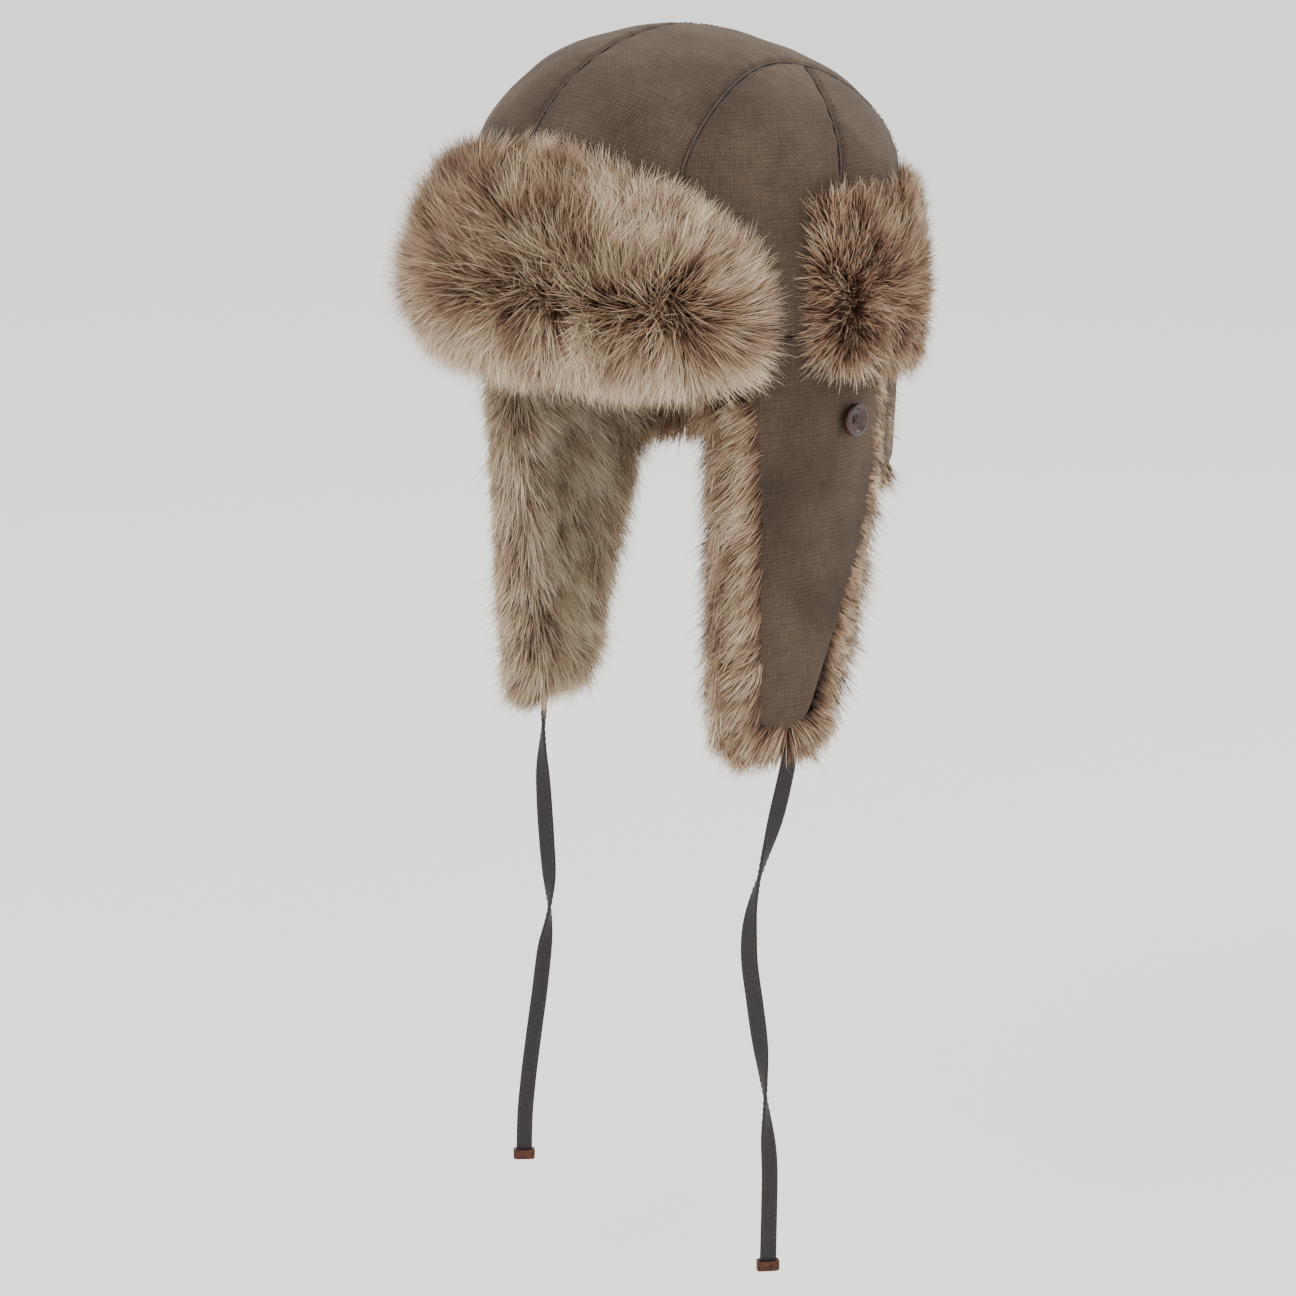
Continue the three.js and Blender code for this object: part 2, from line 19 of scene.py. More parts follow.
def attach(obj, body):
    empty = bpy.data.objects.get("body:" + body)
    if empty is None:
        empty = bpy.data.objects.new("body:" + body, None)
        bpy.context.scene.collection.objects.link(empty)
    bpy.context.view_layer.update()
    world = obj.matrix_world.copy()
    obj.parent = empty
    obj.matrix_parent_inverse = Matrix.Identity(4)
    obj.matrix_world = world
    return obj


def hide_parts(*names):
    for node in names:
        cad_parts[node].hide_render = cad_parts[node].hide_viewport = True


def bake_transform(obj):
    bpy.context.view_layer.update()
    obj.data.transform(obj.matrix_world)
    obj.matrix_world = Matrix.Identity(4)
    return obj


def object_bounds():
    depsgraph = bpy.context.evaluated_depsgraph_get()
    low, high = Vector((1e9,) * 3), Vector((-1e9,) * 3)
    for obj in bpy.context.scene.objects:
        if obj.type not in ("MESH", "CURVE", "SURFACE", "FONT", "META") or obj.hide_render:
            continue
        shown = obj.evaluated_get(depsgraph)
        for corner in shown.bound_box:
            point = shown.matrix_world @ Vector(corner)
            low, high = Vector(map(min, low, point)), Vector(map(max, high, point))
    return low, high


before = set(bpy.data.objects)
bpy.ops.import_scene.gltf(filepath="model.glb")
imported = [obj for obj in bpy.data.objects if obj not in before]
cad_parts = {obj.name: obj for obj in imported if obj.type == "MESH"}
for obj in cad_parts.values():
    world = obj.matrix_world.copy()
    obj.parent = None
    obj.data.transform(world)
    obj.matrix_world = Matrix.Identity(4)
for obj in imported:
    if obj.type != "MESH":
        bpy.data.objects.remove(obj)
CAD_BOX = [[float(c) for c in corner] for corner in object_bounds()]

MM = 0.001
SIDES: dict[str, int] = {"left": 1, "right": -1}
log = logging.getLogger("trapper_hat")


# ---- The form the hat is made on ---------------------------------------------------------------


@dataclass(frozen=True)
class Form:
    """The oval, domed form under every layer, as the CAD has it."""

    width: float = 184.0
    length: float = 206.0
    top: float = 144.0
    dome_start: float = 77.0
    power: float = 1.8
    lean: float = 6.0
    back_slope: float = 8.0
    seam: float = 9.0
    brow: float = 1.0
    fold: float = -12.0
    nape_rim: float = -62.0
    flap_bottom: float = -174.0
    flap_tuck: float = 6.0

    @property
    def radius(self) -> float:
        """Radius of the round form before it is fitted to the oval of a head."""
        return (self.width + self.length) / 4

    def fitted(self, x: np.ndarray, y: np.ndarray, z: np.ndarray) -> np.ndarray:
        """Fits points of the round form to the head.

        Args:
            x, y, z: arrays of one shape, in mm on the round form.

        Returns:
            The points on the hat, with a last axis of three.
        """
        px = x * self.width / (2 * self.radius)
        py = y * self.length / (2 * self.radius)
        rise = np.maximum(0.0, (z - self.seam) / (self.top - self.seam)) ** 2
        back = py / self.length + 0.5
        return np.stack([px, py - self.lean * rise, z - self.back_slope * back * rise], axis=-1)

    def tuck(self, z: np.ndarray) -> np.ndarray:
        """How far the skirt hangs in from the upright wall at a height."""
        down = np.maximum(0.0, (self.fold - z) / (self.fold - self.flap_bottom))
        return self.flap_tuck * down**1.5

    def skirt(self, angle: np.ndarray, z: np.ndarray, out: np.ndarray) -> np.ndarray:
        """Points of the skirt and the upright wall.

        Args:
            angle: radians round from the front, positive towards the wearer's left.
            z: heights.
            out: distances outside the wall, negative inside.

        Returns:
            Points in mm.
        """
        r = self.radius - self.tuck(z) + out
        return self.fitted(r * np.sin(angle), -r * np.cos(angle), z + 0 * angle)

    def skirt_at(self, y: np.ndarray, z: np.ndarray, out: np.ndarray, side: int) -> np.ndarray:
        """Points of the skirt on one side of the hat at given y and z.

        Args:
            y: places from front to back in mm.
            z: heights in mm.
            out: distances outside the wall, in mm.
            side: 1 on the wearer's left, -1 on the right.

        Returns:
            Points in mm, with a last axis of three.
        """
        r = self.radius - self.tuck(z) + out
        along = np.clip(y * 2 * self.radius / self.length / r, -1, 1)
        x = side * r * np.sqrt(1 - along**2) * self.width / (2 * self.radius)
        return np.stack([x, y + 0 * z, z + 0 * y], axis=-1)

    @property
    def dome_arc(self) -> float:
        """Length up the dome's side, from where it starts to the top."""
        r, z = self.dome_line(np.linspace(0, 1, 200), 0.0)
        return float(np.hypot(np.diff(r), np.diff(z)).sum())

    def dome_line(self, t: np.ndarray, out: np.ndarray | float) -> tuple[np.ndarray, np.ndarray]:
        """Radius and height up the dome; t is 0 where it starts and 1 on the axis.

        Args:
            t: 0 where the dome starts, 1 on the axis.
            out: distances outside the wall, in mm.

        Returns:
            Radius and height, in mm.
        """
        a = np.clip(t, 0, 1) * math.pi / 2
        share = 2 / self.power
        r = (self.radius + out) * np.maximum(np.cos(a), 0.0) ** share
        z = self.dome_start + (self.top - self.dome_start + out) * np.sin(a) ** share
        return r, z

    def crown(self, angle: np.ndarray, height: np.ndarray, out: np.ndarray) -> np.ndarray:
        """Points of the crown.

        Args:
            angle: radians round from the front.
            height: height up the wall, and beyond dome_start the length up the dome.
            out: distances outside the cloth.

        Returns:
            Points in mm.
        """
        height = height + 0 * angle
        t = np.clip((height - self.dome_start) / self.dome_arc, 0, 1)
        # Even steps along the dome's side, not even angles.
        table = np.linspace(0, 1, 200)
        r_line, z_line = self.dome_line(table, 0.0)
        arc = np.concatenate([[0], np.cumsum(np.hypot(np.diff(r_line), np.diff(z_line)))])
        t = np.interp(t, arc / arc[-1], table)
        r, z = self.dome_line(t, out)
        below = height < self.dome_start
        r = np.where(below, self.radius + out, r)
        z = np.where(below, height, z)
        return self.fitted(r * np.sin(angle), -r * np.cos(angle), z)

    def over_plan(self, x: np.ndarray, y: np.ndarray) -> np.ndarray:
        """Points of the dome over places of the round form's plan.

        Args:
            x: places from right to left in mm.
            y: places from front to back in mm.

        Returns:
            Points in mm.
        """
        share = np.clip(np.hypot(x, y) / self.radius, 0, 1)
        z = self.dome_start + (self.top - self.dome_start) * (1 - share**self.power) ** (1 / self.power)
        return self.fitted(x, y, z)


FORM = Form()
HEART = np.array([0.0, 0.0, 40.0])  # a place inside the crown that its cloth and fur face away from


# ---- Small helpers -----------------------------------------------------------------------------


def linear(hex_colour: str) -> tuple[float, float, float, float]:
    """Turns an sRGB hex colour to linear RGBA."""
    values = [int(hex_colour[i : i + 2], 16) / 255 for i in (1, 3, 5)]
    return (*[v / 12.92 if v <= 0.04045 else ((v + 0.055) / 1.055) ** 2.4 for v in values], 1.0)


def node(
    tree: bpy.types.NodeTree, kind: str, inputs: dict | None = None, **settings: object
) -> bpy.types.Node:
    """Adds a node with its settings, values and links.

    Args:
        tree: the node tree.
        kind: the node's type name.
        inputs: socket name or index to a value, or to the output socket that feeds it.
        settings: the node's own properties.

    Returns:
        The node.
    """
    made = tree.nodes.new(kind)
    for key, value in settings.items():
        setattr(made, key, value)
    for key, value in (inputs or {}).items():
        socket = made.inputs[key]
        if isinstance(value, bpy.types.NodeSocket):
            tree.links.new(value, socket)
        else:
            socket.default_value = value
    return made


def maths(tree: bpy.types.NodeTree, operation: str, *values: object) -> bpy.types.NodeSocket:
    """Adds one operation on numbers and returns its result."""
    return node(tree, "ShaderNodeMath", dict(enumerate(values)), operation=operation).outputs[0]


def mesh_piece(
    name: str,
    points: np.ndarray,
    faces: Sequence[Sequence[int]],
    material: bpy.types.Material | None = None,
    uv: np.ndarray | None = None,
    attributes: dict[str, np.ndarray] | None = None,
) -> bpy.types.Object:
    """Makes a mesh object from points in mm.

    Args:
        name: the piece's name.
        points: (n, 3) in mm.
        faces: vertex indices of each face, turned outwards.
        material: its finish.
        uv: (n, 2) per vertex, in mm, kept as a UV map named Cloth.
        attributes: per-vertex values by name, (n,) or (n, 3).

    Returns:
        The object, linked to the scene.
    """
    mesh = bpy.data.meshes.new(name)
    mesh.from_pydata((np.asarray(points, float) * MM).tolist(), [], [list(map(int, f)) for f in faces])
    mesh.update()
    if uv is not None:
        layer = mesh.uv_layers.new(name="Cloth")
        corner = np.empty(len(mesh.loops), int)
        mesh.loops.foreach_get("vertex_index", corner)
        layer.data.foreach_set("uv", np.asarray(uv, np.float32)[corner].ravel())
    for key, values in (attributes or {}).items():
        values = np.asarray(values, np.float32)
        kind, slot = ("FLOAT", "value") if values.ndim == 1 else ("FLOAT_VECTOR", "vector")
        mesh.attributes.new(key, kind, "POINT").data.foreach_set(slot, values.ravel())
    mesh.polygons.foreach_set("use_smooth", [True] * len(mesh.polygons))
    if material is not None:
        mesh.materials.append(material)
    obj = bpy.data.objects.new(name, mesh)
    bpy.context.scene.collection.objects.link(obj)
    return obj


def grid_faces(rows: int, columns: int, flip: bool = False, wrap: bool = False) -> np.ndarray:
    """Quads of a grid whose vertices run row by row; wrap joins the last column to the first.

    Args:
        rows: how many rows.
        columns: how many columns.
        flip: turns the faces over.
        wrap: joins the last column to the first.

    Returns:
        (n, 4) vertex indices.
    """
    r, c = np.meshgrid(np.arange(rows - 1), np.arange(columns if wrap else columns - 1), indexing="ij")
    after = (c + 1) % columns
    near, far = r * columns, (r + 1) * columns
    quads = np.stack([near + c, near + after, far + after, far + c], -1).reshape(-1, 4)
    return quads[:, ::-1] if flip else quads


def baked(obj: bpy.types.Object) -> bpy.types.Object:
    """Turns an object's modifiers into a plain mesh.

    Args:
        obj: the object.

    Returns:
        The same object.
    """
    bpy.context.view_layer.update()
    graph = bpy.context.evaluated_depsgraph_get()
    finished = obj.evaluated_get(graph)
    mesh = bpy.data.meshes.new_from_object(finished, preserve_all_data_layers=True, depsgraph=graph)
    obj.modifiers.clear()
    obj.data = mesh
    return obj


def thickened(obj: bpy.types.Object, thickness: float, offset: float = -1.0) -> bpy.types.Object:
    """Gives a cloth its thickness in mm; an offset of -1 puts it all inside.

    Args:
        obj: the object.
        thickness: mm.
        offset: -1 puts it all inside.

    Returns:
        The same object.
    """
    solid = obj.modifiers.new("Cloth thickness", "SOLIDIFY")
    solid.thickness = thickness * MM
    solid.offset = offset
    solid.use_even_offset = False
    return baked(obj)


def noise_at(points: np.ndarray, size: float, seed: float) -> np.ndarray:
    """Smooth noise in about -1..1 at points in mm, with features of a size in mm."""
    shift = Vector((seed * 17.3, seed * -9.1, seed * 4.7))
    return np.array([noise.noise(Vector(p) / size + shift) for p in points])


def unit(vectors: np.ndarray) -> np.ndarray:
    """Vectors at length one."""
    return vectors / np.maximum(np.linalg.norm(vectors, axis=-1, keepdims=True), 1e-9)


def spline(points: Sequence[Sequence[float]], count: int) -> np.ndarray:
    """Even points along a smooth line through given points.

    Args:
        points: what the line passes through.
        count: how many points to return.

    Returns:
        (count, d) points.
    """
    p = np.asarray(points, float)
    padded = np.vstack([2 * p[0] - p[1], p, 2 * p[-1] - p[-2]])
    line = []
    for i in range(len(p) - 1):
        a, b, c, d = padded[i : i + 4]
        t = np.linspace(0, 1, 24, endpoint=False)[:, None]
        bend, twist = 2 * a - 5 * b + 4 * c - d, 3 * b - a - 3 * c + d
        line.append(0.5 * (2 * b + (c - a) * t + bend * t**2 + twist * t**3))
    line = np.vstack([*line, p[-1:]])
    arc = np.concatenate([[0], np.cumsum(np.linalg.norm(np.diff(line, axis=0), axis=1))])
    even = np.linspace(0, arc[-1], count)
    return np.stack([np.interp(even, arc, line[:, k]) for k in range(p.shape[1])], -1)


# ---- Finishes ----------------------------------------------------------------------------------


@dataclass(frozen=True)
class WaxedCanvas:
    """Plain-woven cotton canvas, washed and lightly waxed: matt, with slubbed threads."""

    name: str = "waxed_cotton_canvas"
    shade: str = "#251B14"
    base: str = "#3E3025"
    light: str = "#594838"
    warp_mm: float = 1.5  # real threads are about 0.5 mm apart, drawn coarser so that the weave shows
    weft_mm: float = 1.8
    roughness: float = 0.82

    def build(self) -> bpy.types.Material:
        """Makes the material; the weave follows the Cloth UV map, in mm, and painted shade darkens the seam
        valleys by the seam attribute.

        Returns:
            The material.
        """
        material = bpy.data.materials.new(self.name)
        material.use_nodes = True
        tree = material.node_tree
        shader = tree.nodes["Principled BSDF"]
        cloth = node(tree, "ShaderNodeUVMap", uv_map="Cloth").outputs[0]
        place = node(tree, "ShaderNodeTexCoord").outputs["Object"]
        wander = node(tree, "ShaderNodeTexNoise", {"Vector": cloth, "Scale": 0.35, "Detail": 2.0})
        pushed = node(
            tree, "ShaderNodeVectorMath", {0: wander.outputs["Color"], 1: (0.9, 0.9, 0.0), 2: cloth},
            operation="MULTIPLY_ADD",
        ).outputs[0]
        split = node(tree, "ShaderNodeSeparateXYZ", {0: pushed})
        threads = []
        for axis, spacing in (("X", self.warp_mm), ("Y", self.weft_mm)):
            turns = maths(tree, "MULTIPLY", split.outputs[axis], 2 * math.pi / spacing)
            threads.append(maths(tree, "SINE", turns))
        over = maths(tree, "MULTIPLY", threads[0], threads[1])
        ribs = maths(tree, "ADD", threads[0], threads[1])
        rib = maths(tree, "MULTIPLY_ADD", ribs, 0.22, over)
        long_slub = node(tree, "ShaderNodeMapping", {"Vector": cloth, "Scale": (0.9, 0.12, 1.0)}).outputs[0]
        warp = node(tree, "ShaderNodeTexNoise", {"Vector": long_slub, "Scale": 1.0, "Detail": 3.0})
        cross_slub = node(tree, "ShaderNodeMapping", {"Vector": cloth, "Scale": (0.1, 0.8, 1.0)}).outputs[0]
        weft = node(tree, "ShaderNodeTexNoise", {"Vector": cross_slub, "Scale": 1.0, "Detail": 3.0})
        slubs = maths(tree, "ADD", warp.outputs["Fac"], weft.outputs["Fac"])
        fade = node(tree, "ShaderNodeTexNoise", {"Vector": place, "Scale": 22.0, "Detail": 4.0})
        tone = maths(tree, "MULTIPLY_ADD", slubs, 0.42, fade.outputs["Fac"])
        lit = maths(tree, "MULTIPLY_ADD", rib, 0.2, tone)
        level = node(tree, "ShaderNodeMapRange", {0: lit, 1: 0.55, 2: 1.3}).outputs[0]
        ramp = node(tree, "ShaderNodeValToRGB", {0: level})
        ramp.color_ramp.elements[0].color = linear(self.shade)
        ramp.color_ramp.elements[1].color = linear(self.light)
        middle = ramp.color_ramp.elements.new(0.5)
        middle.color = linear(self.base)
        # Painted shade: the colour is darkened to 0.42 down the seam valleys, where the seam attribute is 1.
        painted_seam_shade = node(tree, "ShaderNodeAttribute", attribute_name="seam").outputs["Fac"]
        valley = node(tree, "ShaderNodeMapRange", {0: painted_seam_shade, 3: 1.0, 4: 0.42}).outputs[0]
        both = {0: 1.0, 6: ramp.outputs[0], 7: valley}
        colour = node(tree, "ShaderNodeMix", both, data_type="RGBA", blend_type="MULTIPLY")
        tree.links.new(colour.outputs[2], shader.inputs["Base Color"])
        height = maths(tree, "MULTIPLY_ADD", slubs, 1.2, rib)
        bump = node(tree, "ShaderNodeBump", {"Height": height, "Strength": 0.5, "Distance": 0.22 * MM})
        tree.links.new(bump.outputs[0], shader.inputs["Normal"])
        shader.inputs["Roughness"].default_value = self.roughness
        shader.inputs["Specular IOR Level"].default_value = 0.25
        shader.inputs["Sheen Weight"].default_value = 0.18
        shader.inputs["Sheen Roughness"].default_value = 0.5
        shader.inputs["Sheen Tint"].default_value = linear("#B9A996")
        return material


@dataclass(frozen=True)
class FurFinish:
    """Faux fur of fine acrylic strands: a warm middle and pale tips, and dark roots that are partly the fur's
    own colour and partly painted shade in the gaps between tufts.
    """

    name: str
    root: str = "#2B1E16"
    low: str = "#553B2D"
    middle: str = "#7D6049"
    high: str = "#A68B6E"
    tip: str = "#D6C4A6"
    roughness: float = 0.62

    def build(self) -> bpy.types.Material:
        """Makes the material; colour follows fur_along down a strand and fur_tone from strand to strand.

        Returns:
            The material.
        """
        material = bpy.data.materials.new(self.name)
        material.use_nodes = True
        tree = material.node_tree
        shader = tree.nodes["Principled BSDF"]
        along = node(tree, "ShaderNodeAttribute", attribute_name="fur_along").outputs["Fac"]
        tone = node(tree, "ShaderNodeAttribute", attribute_name="fur_tone").outputs["Fac"]
        # Darker towards the root: partly the fur's own colour, partly painted shade between the tufts.
        level = maths(tree, "MULTIPLY_ADD", tone, 0.8, -0.47)
        place = maths(tree, "MULTIPLY_ADD", along, 0.85, level)
        ramp = node(tree, "ShaderNodeValToRGB", {0: place})
        stops = [(0.0, self.root), (0.22, self.low), (0.45, self.middle), (0.68, self.high), (0.95, self.tip)]
        elements = ramp.color_ramp.elements
        elements[0].color = linear(self.root)
        elements[1].position = stops[-1][0]
        elements[1].color = linear(self.tip)
        for position, colour in stops[1:-1]:
            elements.new(position).color = linear(colour)
        tree.links.new(ramp.outputs[0], shader.inputs["Base Color"])
        shader.inputs["Roughness"].default_value = self.roughness
        shader.inputs["Specular IOR Level"].default_value = 0.3
        return material


@dataclass(frozen=True)
class Plain:
    """A smooth or grained finish whose colour wanders between two shades over a grain size."""

    name: str
    dark: str
    light: str
    grain_mm: float
    roughness: float
    bump_mm: float = 0.05
    metallic: float = 0.0
    stretch: tuple[float, float, float] = (1.0, 1.0, 1.0)

    def build(self) -> bpy.types.Material:
        """Makes the material on Object coordinates.

        Returns:
            The material.
        """
        material = bpy.data.materials.new(self.name)
        material.use_nodes = True
        tree = material.node_tree
        shader = tree.nodes["Principled BSDF"]
        place = node(tree, "ShaderNodeTexCoord").outputs["Object"]
        scaled = node(tree, "ShaderNodeMapping", {"Vector": place, "Scale": self.stretch}).outputs[0]
        fine = self.grain_mm * MM
        coarse = node(tree, "ShaderNodeTexNoise", {"Vector": scaled, "Scale": 0.2 / fine, "Detail": 4.0})
        close = node(tree, "ShaderNodeTexNoise", {"Vector": scaled, "Scale": 1 / fine, "Detail": 3.0})
        grain = close.outputs["Fac"]
        mixed = maths(tree, "ADD", coarse.outputs["Fac"], grain)
        level = node(tree, "ShaderNodeMapRange", {0: mixed, 1: 0.75, 2: 1.3}).outputs[0]
        ramp = node(tree, "ShaderNodeValToRGB", {0: level})
        ramp.color_ramp.elements[0].color = linear(self.dark)
        ramp.color_ramp.elements[1].color = linear(self.light)
        tree.links.new(ramp.outputs[0], shader.inputs["Base Color"])
        bump = node(tree, "ShaderNodeBump", {"Height": grain, "Strength": 0.6, "Distance": self.bump_mm * MM})
        tree.links.new(bump.outputs[0], shader.inputs["Normal"])
        span = {0: grain, 3: self.roughness - 0.1, 4: self.roughness + 0.12}
        gloss = node(tree, "ShaderNodeMapRange", span)
        tree.links.new(gloss.outputs[0], shader.inputs["Roughness"])
        shader.inputs["Metallic"].default_value = self.metallic
        return material


@dataclass
class Wardrobe:
    """Every finish of the hat, made once."""

    canvas: bpy.types.Material = field(default_factory=lambda: WaxedCanvas().build())
    front_fur: bpy.types.Material = field(
        default_factory=lambda: FurFinish("faux_fur_golden").build()
    )
    cuff_fur: bpy.types.Material = field(
        default_factory=lambda: FurFinish(
            "faux_fur_cuff", root="#38261C", low="#6B4A39", middle="#94745B"
        ).build()
    )
    # A lighter copy of the golden fur, for the far ear flap: painted light where the key light falls on it.
    far_flap_lit_fur: bpy.types.Material = field(
        default_factory=lambda: FurFinish(
            "faux_fur_far_flap_painted_light", root="#3A2D23", low="#6E5746", middle="#987F68", high="#BBA585", tip="#DACBAE"
        ).build()
    )
    nape_fur: bpy.types.Material = field(
        default_factory=lambda: FurFinish(
            "faux_fur_russet", root="#2B1C15", low="#4A3326", middle="#6B4D39", high="#8D6F55", tip="#BDA387"
        ).build()
    )
    hide: bpy.types.Material = field(
        default_factory=lambda: Plain("knitted_fur_backing", "#3A281D", "#5B4331", 0.8, 0.95).build()
    )
    satin: bpy.types.Material = field(
        default_factory=lambda: Plain("quilted_satin", "#2E2520", "#40342C", 0.5, 0.38, 0.02).build()
    )
    leather: bpy.types.Material = field(
        default_factory=lambda: Plain("black_brown_leather", "#0A0807", "#1A1513", 0.45, 0.72, 0.06).build()
    )
    horn: bpy.types.Material = field(
        default_factory=lambda: Plain("turned_horn", "#150A06", "#3A2015", 1.6, 0.3, 0.03).build()
    )
    cord: bpy.types.Material = field(
        default_factory=lambda: Plain("waxed_thread", "#2A211B", "#4A3B30", 0.3, 0.75, 0.05).build()
    )
    keeper: bpy.types.Material = field(
        default_factory=lambda: Plain("antique_copper", "#2A1A12", "#5C3826", 0.5, 0.42, 0.03, 0.75).build()
    )


# ---- Fur ---------------------------------------------------------------------------------------


@dataclass(frozen=True)
class FurCut:
    """How one layer of fur is cut and combed."""

    density: float  # strands per square mm where the guide's fur_density is 1
    length: float  # mm
    width: float  # mm, at the root
    lift: float  # 0 lies flat along the comb, 1 stands straight up
    clump: float = 0.5  # how far tips gather into locks
    lock: float = 6.0  # mm between locks
    stray: float = 0.35  # how far the comb wanders
    tone: float = 0.0  # lighter above 0
    segments: int = 3


class FurTree:
    """The Geometry Nodes tree that grows strands on a guide surface."""

    SIZES = (
        ("Density", "NodeSocketFloat"),
        ("Length", "NodeSocketFloat"),
        ("Width", "NodeSocketFloat"),
        ("Lift", "NodeSocketFloat"),
        ("Clump", "NodeSocketFloat"),
        ("Lock", "NodeSocketFloat"),
        ("Stray", "NodeSocketFloat"),
        ("Tone", "NodeSocketFloat"),
        ("Segments", "NodeSocketInt"),
        ("Seed", "NodeSocketInt"),
        ("Finish", "NodeSocketMaterial"),
    )
    # What only the bending needs, dropped from the finished strands.
    PASSING = ("root", "up", "chance", "turn", "across", "fur_comb", "fur_length", "fur_density", "fur_shade")

    def __init__(self) -> None:
        """Builds the tree."""
        self.tree = bpy.data.node_groups.new("fur_strands", "GeometryNodeTree")
        face = self.tree.interface
        face.new_socket("Guide", in_out="INPUT", socket_type="NodeSocketGeometry")
        made = {n: face.new_socket(n, in_out="INPUT", socket_type=k) for n, k in self.SIZES}
        self.sockets = {n: socket.identifier for n, socket in made.items()}
        face.new_socket("Fur", in_out="OUTPUT", socket_type="NodeSocketGeometry")
        self._grow()

    def _add(self, kind: str, inputs: dict | None = None, **settings: object) -> bpy.types.Node:
        """Adds a node to this tree."""
        return node(self.tree, kind, inputs, **settings)

    def _named(self, name: str, kind: str = "FLOAT") -> bpy.types.NodeSocket:
        """Reads a named attribute."""
        read = self._add("GeometryNodeInputNamedAttribute", {"Name": name}, data_type=kind)
        return read.outputs["Attribute"]

    def _kept(
        self, geometry: bpy.types.NodeSocket, name: str, value: bpy.types.NodeSocket, kind: str = "FLOAT"
    ) -> bpy.types.NodeSocket:
        """Stores a named attribute on the points and returns the geometry."""
        inputs = {"Geometry": geometry, "Name": name, "Value": value}
        return self._add("GeometryNodeStoreNamedAttribute", inputs, data_type=kind, domain="POINT").outputs[0]

    def _vector(self, operation: str, *values: object, scale: object = None) -> bpy.types.NodeSocket:
        """One vector operation.

        Args:
            operation: which one.
            values: what it works on.
            scale: a length for SCALE.

        Returns:
            Its result.
        """
        inputs = dict(enumerate(values))
        if scale is not None:
            inputs["Scale"] = scale
        return self._add("ShaderNodeVectorMath", inputs, operation=operation).outputs[0]

    def _number(self, operation: str, *values: object) -> bpy.types.NodeSocket:
        """One operation on numbers."""
        return self._add("ShaderNodeMath", dict(enumerate(values)), operation=operation).outputs[0]

    def _grow(self) -> None:
        """Scatters roots, sets a ribbon at each, and bends the ribbons into strands."""
        given = self._add("NodeGroupInput").outputs
        density = self._number("MULTIPLY", given["Density"], self._named("fur_density"))
        scattered = self._add(
            "GeometryNodeDistributePointsOnFaces",
            {"Mesh": given["Guide"], "Density": density, "Seed": given["Seed"]},
            distribute_method="RANDOM",
        )
        here = self._add("GeometryNodeInputPosition").outputs[0]
        roots = self._kept(scattered.outputs["Points"], "root", here, "FLOAT_VECTOR")
        roots = self._kept(roots, "up", scattered.outputs["Normal"], "FLOAT_VECTOR")
        for name, shift in (("chance", 1), ("turn", 2)):
            seed = self._number("ADD", given["Seed"], shift)
            random = self._add("FunctionNodeRandomValue", {"Seed": seed}, data_type="FLOAT").outputs[1]
            roots = self._kept(roots, name, random)
        rows = self._number("ADD", given["Segments"], 1)
        flat = {"Size X": 1.0, "Size Y": 1.0, "Vertices X": 2, "Vertices Y": rows}
        ribbon = self._add("GeometryNodeMeshGrid", flat).outputs["Mesh"]
        place = self._add("ShaderNodeSeparateXYZ", {0: self._add("GeometryNodeInputPosition").outputs[0]})
        ribbon = self._kept(ribbon, "across", place.outputs["X"])
        ribbon = self._kept(ribbon, "fur_along", self._number("ADD", place.outputs["Y"], 0.5))
        set_out = self._add("GeometryNodeInstanceOnPoints", {"Points": roots, "Instance": ribbon}).outputs[0]
        strands = self._add("GeometryNodeRealizeInstances", {"Geometry": set_out}).outputs[0]
        strands = self._bent(strands, given)
        self._finished(strands, given)

    def _bent(self, strands: bpy.types.NodeSocket, given: object) -> bpy.types.NodeSocket:
        """Bends each ribbon from its root: up the normal, over along the comb, and in towards its lock.

        Args:
            strands: the strands so far.
            given: the tree's named inputs.

        Returns:
            The bent strands.
        """
        root, up, comb = (self._named(n, "FLOAT_VECTOR") for n in ("root", "up", "fur_comb"))
        along, across, chance, turn = (self._named(n) for n in ("fur_along", "across", "chance", "turn"))
        wander = self._add("ShaderNodeTexNoise", {"Vector": root, "Scale": 60.0, "Detail": 3.0})
        fine = self._add("ShaderNodeTexWhiteNoise", {"Vector": root}, noise_dimensions="3D").outputs["Color"]
        middle = (0.5, 0.5, 0.5)
        swing = self._vector("SUBTRACT", wander.outputs["Color"], middle)
        drift = self._vector("SCALE", swing, scale=self._number("MULTIPLY", given["Stray"], 2.4))
        shake = self._vector("SUBTRACT", fine, middle)
        jitter = self._vector("SCALE", shake, scale=given["Stray"])
        combed = self._vector("ADD", comb, self._vector("ADD", drift, jitter))
        # Keeps the comb along the surface.
        into = self._add("ShaderNodeVectorMath", {0: combed, 1: up}, operation="DOT_PRODUCT").outputs["Value"]
        lay = self._vector("SUBTRACT", combed, self._vector("SCALE", up, scale=into))
        length = self._number("MULTIPLY", given["Length"], self._named("fur_length"))
        length = self._number("MULTIPLY", length, self._number("MULTIPLY_ADD", chance, 0.45, 0.65))
        squared = self._number("MULTIPLY", along, along)
        climb, droop = self._number("MULTIPLY", along, 1.2), self._number("MULTIPLY", squared, 0.2)
        rise = self._number("SUBTRACT", climb, droop)
        reach = self._number("MULTIPLY_ADD", squared, 0.55, self._number("MULTIPLY", along, 0.45))
